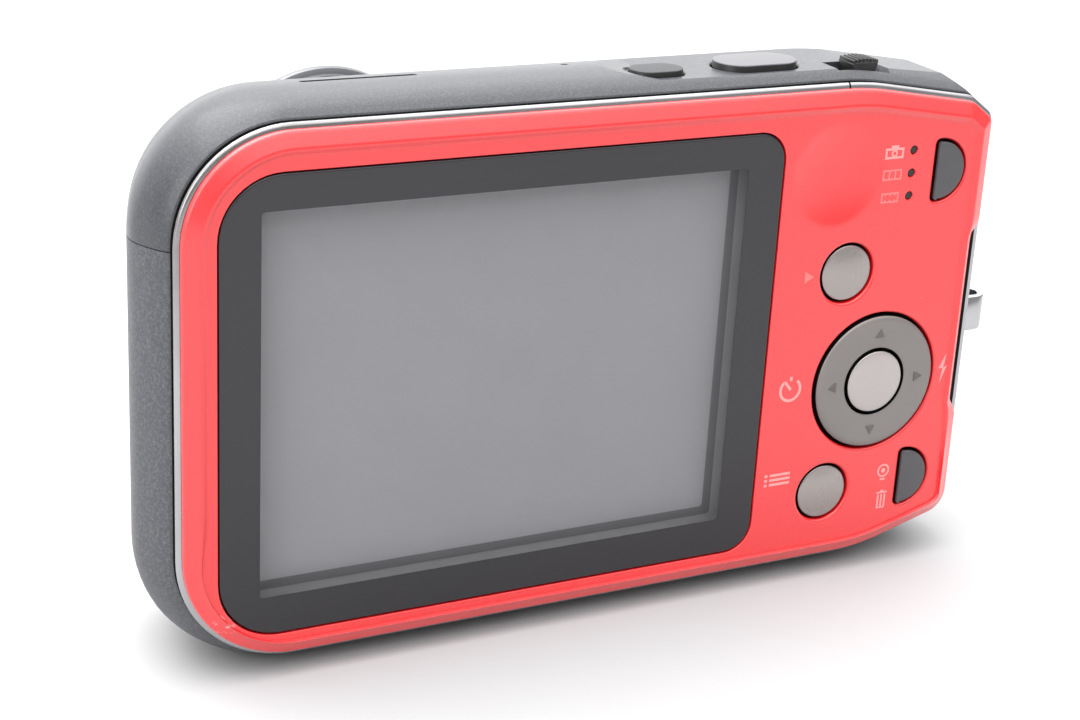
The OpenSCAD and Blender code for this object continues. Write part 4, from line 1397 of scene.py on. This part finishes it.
def front_plate():
    """Red front panel with a rounded edge, cut out for the lens ring, flash and lamp."""
    side, lift = -1.5, -1.3
    thick = span("front_plate")[1].y - FACE
    rows = [(FACE, -1.4), (FACE + thick * 0.45, -1.42), (FACE + thick * 0.75, -1.52)]
    rows += [(FACE + thick * 0.93, -1.7), (FACE + thick, -1.95)]
    bm = bmesh.new()
    loops = []
    for y, grow in rows:
        loops.append(add_loop(bm, [Vector((p.x, y, p.y + lift)) for p in BODY.points(grow, side)]))
    close_up(bm, loops)
    plate = make_object("front_panel", bm)
    holes = bmesh.new()
    ring_seat = circle(lens_at.x, lens_at.z, LENS_RING_R)
    stack_mesh(holes, [(8, 0.1), (FACE + thick - 0.15, 0.1), (13, 0.6)], ring_seat)
    flash_low, flash_high = span("flash_window")
    flash = box_outline(flash_low.x, flash_low.z, flash_high.x, flash_high.z, 0.6, 0.4)
    stack_mesh(holes, [(8, 0.08), (FACE + thick - 0.12, 0.08), (13, 0.6)], flash)
    lamp = middle("af_lamp")
    stack_mesh(holes, [(8, 0.05), (FACE + thick - 0.12, 0.05), (13, 0.5)], circle(lamp.x, lamp.z, 1.95))
    carve(plate, holes)
    return dress(plate, ROOT, "front_plate", slot="red_paint_front")


def lens():
    """Turned lens ring with a stepped face, and the pane in it."""
    low, high = span("lens_ring")
    r = LENS_RING_R
    window_low, window_high = span("lens_window")
    rows = [
        (low.y, r - 0.75),
        (low.y + 0.75, r - 0.70),
        (low.y + 0.82, r - 0.45),
        (low.y + 0.95, r - 0.15),
        (low.y + 1.2, r),
        (high.y - 0.95, r),
        (high.y - 0.45, r - 0.15),
        (high.y - 0.1, r - 0.42),
        (high.y, r - 0.7),
        (high.y, r - 1.6),
        (high.y - 0.12, r - 1.75),
        (high.y - 0.25, r - 2.0),
        (high.y - 0.25, LENS_WINDOW_R + 1.2),
        (window_high.y + 0.1, LENS_WINDOW_R + 0.05),
        (window_low.y - 0.05, LENS_WINDOW_R + 0.05),
        (window_low.y - 0.1, LENS_WINDOW_R - 0.7),
        (low.y, LENS_WINDOW_R - 0.8),
    ]
    ring = lathe("lens_bezel", rows, lens_at.x, lens_at.z, ring=True, segments=128, sharp_angle=35)
    dress(ring, ROOT, "lens_ring", slot="lens_ring_metal")
    pane_rows = [
        (window_low.y, LENS_WINDOW_R - 0.1),
        (window_low.y + 0.1, LENS_WINDOW_R),
        (window_high.y - 0.12, LENS_WINDOW_R),
        (window_high.y, LENS_WINDOW_R - 0.15),
    ]
    pane = lathe("lens_pane", pane_rows, lens_at.x, lens_at.z)
    dress(pane, ROOT, "lens_window", slot="lens_glass")


def flash_and_lamp():
    """Flash cover, ribbed on its inside, and the domed focus lamp."""
    low, high = span("flash_window")
    outline = box_outline(low.x, low.z, high.x, high.z, 0.55, 0.5)
    rows = [(high.y - 1.1, 0.0), (high.y - 0.12, 0.0), (high.y - 0.03, -0.06), (high.y, -0.16)]
    dress(stack("flash_cover", rows, outline), ROOT, "flash_window", slot="flash_lens")
    ribs = bmesh.new()
    count = 16
    width = (high.x - low.x - 1.2) / count
    for k in range(count):
        x = low.x + 0.6 + width * k
        points = [(x, high.y - 1.12), (x + width / 2, high.y - 1.5), (x + width, high.y - 1.12)]
        prism_mesh(ribs, points, low.z + 0.5, high.z - 0.5, across_z)
    dress(make_object("flash_cover_ribs", ribs), ROOT, slot="flash_lens")
    lamp_low, lamp_high = span("af_lamp")
    lamp = middle("af_lamp")
    r = (lamp_high.x - lamp_low.x) / 2
    dome = [
        (lamp_low.y, r - 0.3),
        (lamp_low.y + 0.5, r),
        (lamp_high.y - 0.5, r),
        (lamp_high.y - 0.38, r - 0.05),
    ]
    dome += [(lamp_high.y - 0.25, r - 0.25), (lamp_high.y - 0.1, r - 0.7), (lamp_high.y, r - 1.4)]
    dress(lathe("focus_lamp_dome", dome, lamp.x, lamp.z, segments=64), ROOT, "af_lamp", slot="lamp_lens")


front_plate()
lens()
flash_and_lamp()


# Printed marks ----------------------------------------------------------------------------------

PRINT_Y = PANEL - 0.015


class Print:
    """A mark printed on the rear cover, drawn from bars, rings and polygons round its own middle."""

    def __init__(self, x, z):
        self.x = x
        self.z = z
        self.bm = bmesh.new()

    def polygon(self, points):
        moved = [(self.x + u, self.z + v) for u, v in points]
        prism_mesh(self.bm, moved, PRINT_Y, PANEL + 0.01)

    def bar(self, u0, v0, u1, v1):
        self.polygon([(u0, v0), (u1, v0), (u1, v1), (u0, v1)])

    def arc(self, u, v, r, width, a0, a1):
        steps = max(4, int(abs(a1 - a0) / 12))
        for k in range(steps):
            a = math.radians(a0 + (a1 - a0) * k / steps)
            b = math.radians(a0 + (a1 - a0) * (k + 1) / steps)
            quad = [(r, a), (r, b), (r - width, b), (r - width, a)]
            self.polygon([(u + q * math.cos(t), v + q * math.sin(t)) for q, t in quad])

    def frame(self, u0, v0, u1, v1, width):
        self.bar(u0, v0, u1, v0 + width)
        self.bar(u0, v1 - width, u1, v1)
        self.bar(u0, v0 + width, u0 + width, v1 - width)
        self.bar(u1 - width, v0 + width, u1, v1 - width)

    def done(self, name, finish="print"):
        bmesh.ops.remove_doubles(self.bm, verts=self.bm.verts[:], dist=0.0005)
        return dress(make_object(name, self.bm), ROOT, finish=finish)


def printed_marks():
    row_z = [lights_at.z + LIGHT_PITCH, lights_at.z, lights_at.z - LIGHT_PITCH]
    icons_x = lights_at.x - 2.7
    still = Print(icons_x, row_z[0] - 0.1)
    still.frame(-1.25, -0.7, 1.25, 0.55, 0.26)
    still.bar(-0.5, 0.55, 0.5, 0.85)
    still.arc(0, -0.08, 0.42, 0.2, 0, 360)
    still.done("print_still")
    wide = Print(icons_x, row_z[1])
    wide.frame(-1.3, -0.62, 1.3, 0.62, 0.2)
    wide.bar(-0.5, -0.42, -0.3, 0.42)
    wide.bar(0.3, -0.42, 0.5, 0.42)
    wide.done("print_wide", "faint_print")
    film = Print(icons_x, row_z[2])
    film.frame(-1.2, -0.6, 1.2, 0.6, 0.2)
    for u in (-0.75, -0.1, 0.55):
        film.bar(u, 0.24, u + 0.22, 0.4)
        film.bar(u, -0.4, u + 0.22, -0.24)
    film.done("print_film", "faint_print")
    play = Print(playback_at.x - 5.2, playback_at.z + 0.1)
    play.polygon([(-0.6, -0.7), (0.6, 0), (-0.6, 0.7)])
    play.done("print_play", "faint_print")
    timer = Print(ring_at.x - 11.7, ring_at.z + 0.45)
    timer.arc(0, 0, 1.5, 0.34, -230, 50)
    timer.polygon([(-0.95, 0.95), (-0.72, 1.18), (0.18, 0.12), (-0.05, -0.12)])
    timer.bar(-0.17, 1.1, 0.17, 1.6)
    timer.done("print_timer")
    flash = Print(ring_at.x + 9.85, ring_at.z + 0.35)
    flash.polygon([(0.3, 1.9), (-0.6, 0.1), (0.0, 0.1), (0.15, 0.6)])
    flash.polygon([(-0.3, -1.9), (0.6, 0.35), (0.0, 0.1), (-0.05, -0.3)])
    flash.done("print_flash")
    menu = Print(menu_at.x - 6.5, menu_at.z + 2.65)
    for v in (-0.75, -0.16, 0.43):
        menu.bar(-1.9, v, -1.5, v + 0.32)
        menu.bar(-1.2, v, 1.6, v + 0.32)
    menu.done("print_menu")
    guide = Print(help_x - 2.9, help_low.z + 5.1)
    guide.arc(0, 0.2, 0.85, 0.22, 0, 360)
    guide.arc(0, 0.2, 0.3, 0.3, 0, 360)
    guide.bar(-0.35, -1.05, 0.35, -0.8)
    guide.done("print_guide")
    bin_icon = Print(help_x - 2.75, help_low.z + 1.6)
    bin_icon.bar(-0.75, 0.7, 0.75, 0.92)
    bin_icon.bar(-0.22, 0.92, 0.22, 1.12)
    for u in (-0.6, -0.12, 0.36):
        bin_icon.bar(u, -1.1, u + 0.24, 0.55)
    bin_icon.bar(-0.6, -1.25, 0.6, -1.1)
    bin_icon.done("print_bin")


printed_marks()


# Finishes of the CAD nodes that show as they are --------------------------------------------------

for name, node in frame["nodes"].items():
    if node.hide_render:
        continue
    slot = node.data.materials[0].name.split(".")[0]
    node.data.materials.clear()
    node.data.materials.append(MATERIALS["display_frame" if name == "lcd_bezel" else slot])


# Stage, light and camera --------------------------------------------------------------------------


def floor():
    bm = bmesh.new()
    reach = 1500
    block_mesh(bm, (-reach, -reach, -4), (reach, reach, 0))
    ground = make_object("floor", bm)
    paper = Finish("white_paper", roughness=0.85, specular=0.1)
    paper.colour(paper.blend(paper.noise(20, 3), (0.44, 0.44, 0.444, 1), (0.46, 0.46, 0.464, 1)))
    paper.bump(paper.noise(400, 4), 0.05, 0.02)
    ground.data.materials.append(paper.material)


def soft_light(name, place, aim, width, height, watts):
    """Area light at place, facing aim, both in millimetres."""
    data = bpy.data.lights.new(name, "AREA")
    data.shape = "RECTANGLE"
    data.size = width * MM
    data.size_y = height * MM
    data.energy = watts
    light = bpy.data.objects.new(name, data)
    light.location = Vector(place) * MM
    light.rotation_euler = (Vector(aim) - Vector(place)).to_track_quat("-Z", "Y").to_euler()
    bpy.context.scene.collection.objects.link(light)


def world(low_level, overhead, behind):
    """White surroundings: dim at the horizon, brighter overhead and behind the object."""
    sky = bpy.data.worlds.new("studio")
    sky.use_nodes = True
    nodes, links = sky.node_tree.nodes, sky.node_tree.links
    background = nodes["Background"]
    background.inputs["Color"].default_value = (1.0, 1.0, 1.0, 1.0)
    split = nodes.new("ShaderNodeSeparateXYZ")
    links.new(nodes.new("ShaderNodeTexCoord").outputs["Generated"], split.inputs[0])
    both = nodes.new("ShaderNodeMath")
    fades = (("Z", 0.3, 0.8, low_level, overhead), ("Y", 0.0, 0.85, 0.0, behind))
    for i, (direction, start, end, first, last) in enumerate(fades):
        fade = nodes.new("ShaderNodeMapRange")
        fade.interpolation_type = "SMOOTHSTEP"
        fade.inputs["From Min"].default_value = start
        fade.inputs["From Max"].default_value = end
        fade.inputs["To Min"].default_value = first
        fade.inputs["To Max"].default_value = last
        links.new(split.outputs[direction], fade.inputs["Value"])
        links.new(fade.outputs["Result"], both.inputs[i])
    seen = nodes.new("ShaderNodeMix")
    links.new(nodes.new("ShaderNodeLightPath").outputs["Is Camera Ray"], seen.inputs["Factor"])
    links.new(both.outputs["Value"], seen.inputs["A"])
    seen.inputs["B"].default_value = 1.0
    links.new(seen.outputs["Result"], background.inputs["Strength"])
    bpy.context.scene.world = sky
    bpy.context.scene.view_settings.view_transform = "Standard"


def camera(place, aim, roll, lens_mm):
    data = bpy.data.cameras.new("view")
    data.lens = lens_mm
    data.sensor_width = 36
    data.clip_start = 0.01
    data.clip_end = 20
    cam = bpy.data.objects.new("view", data)
    turn = (Vector(aim) - Vector(place)).to_track_quat("-Z", "Y").to_matrix()
    cam.matrix_world = Matrix.Translation(Vector(place) * MM) @ (
        turn @ Matrix.Rotation(math.radians(roll), 3, "Z")
    ).to_4x4()
    bpy.context.scene.collection.objects.link(cam)
    bpy.context.scene.camera = cam


floor()
world(0.45, 2.7, 1.4)
soft_light("overhead", (-150, 60, 600), BODY_MIDDLE, 700, 500, 4.0)
soft_light("from_left", (-600, -250, 260), BODY_MIDDLE, 400, 400, 1.5)
camera((-106.93, -195.79, 112.05), (-9.69, -10.85, 32.38), 3.19, 70)
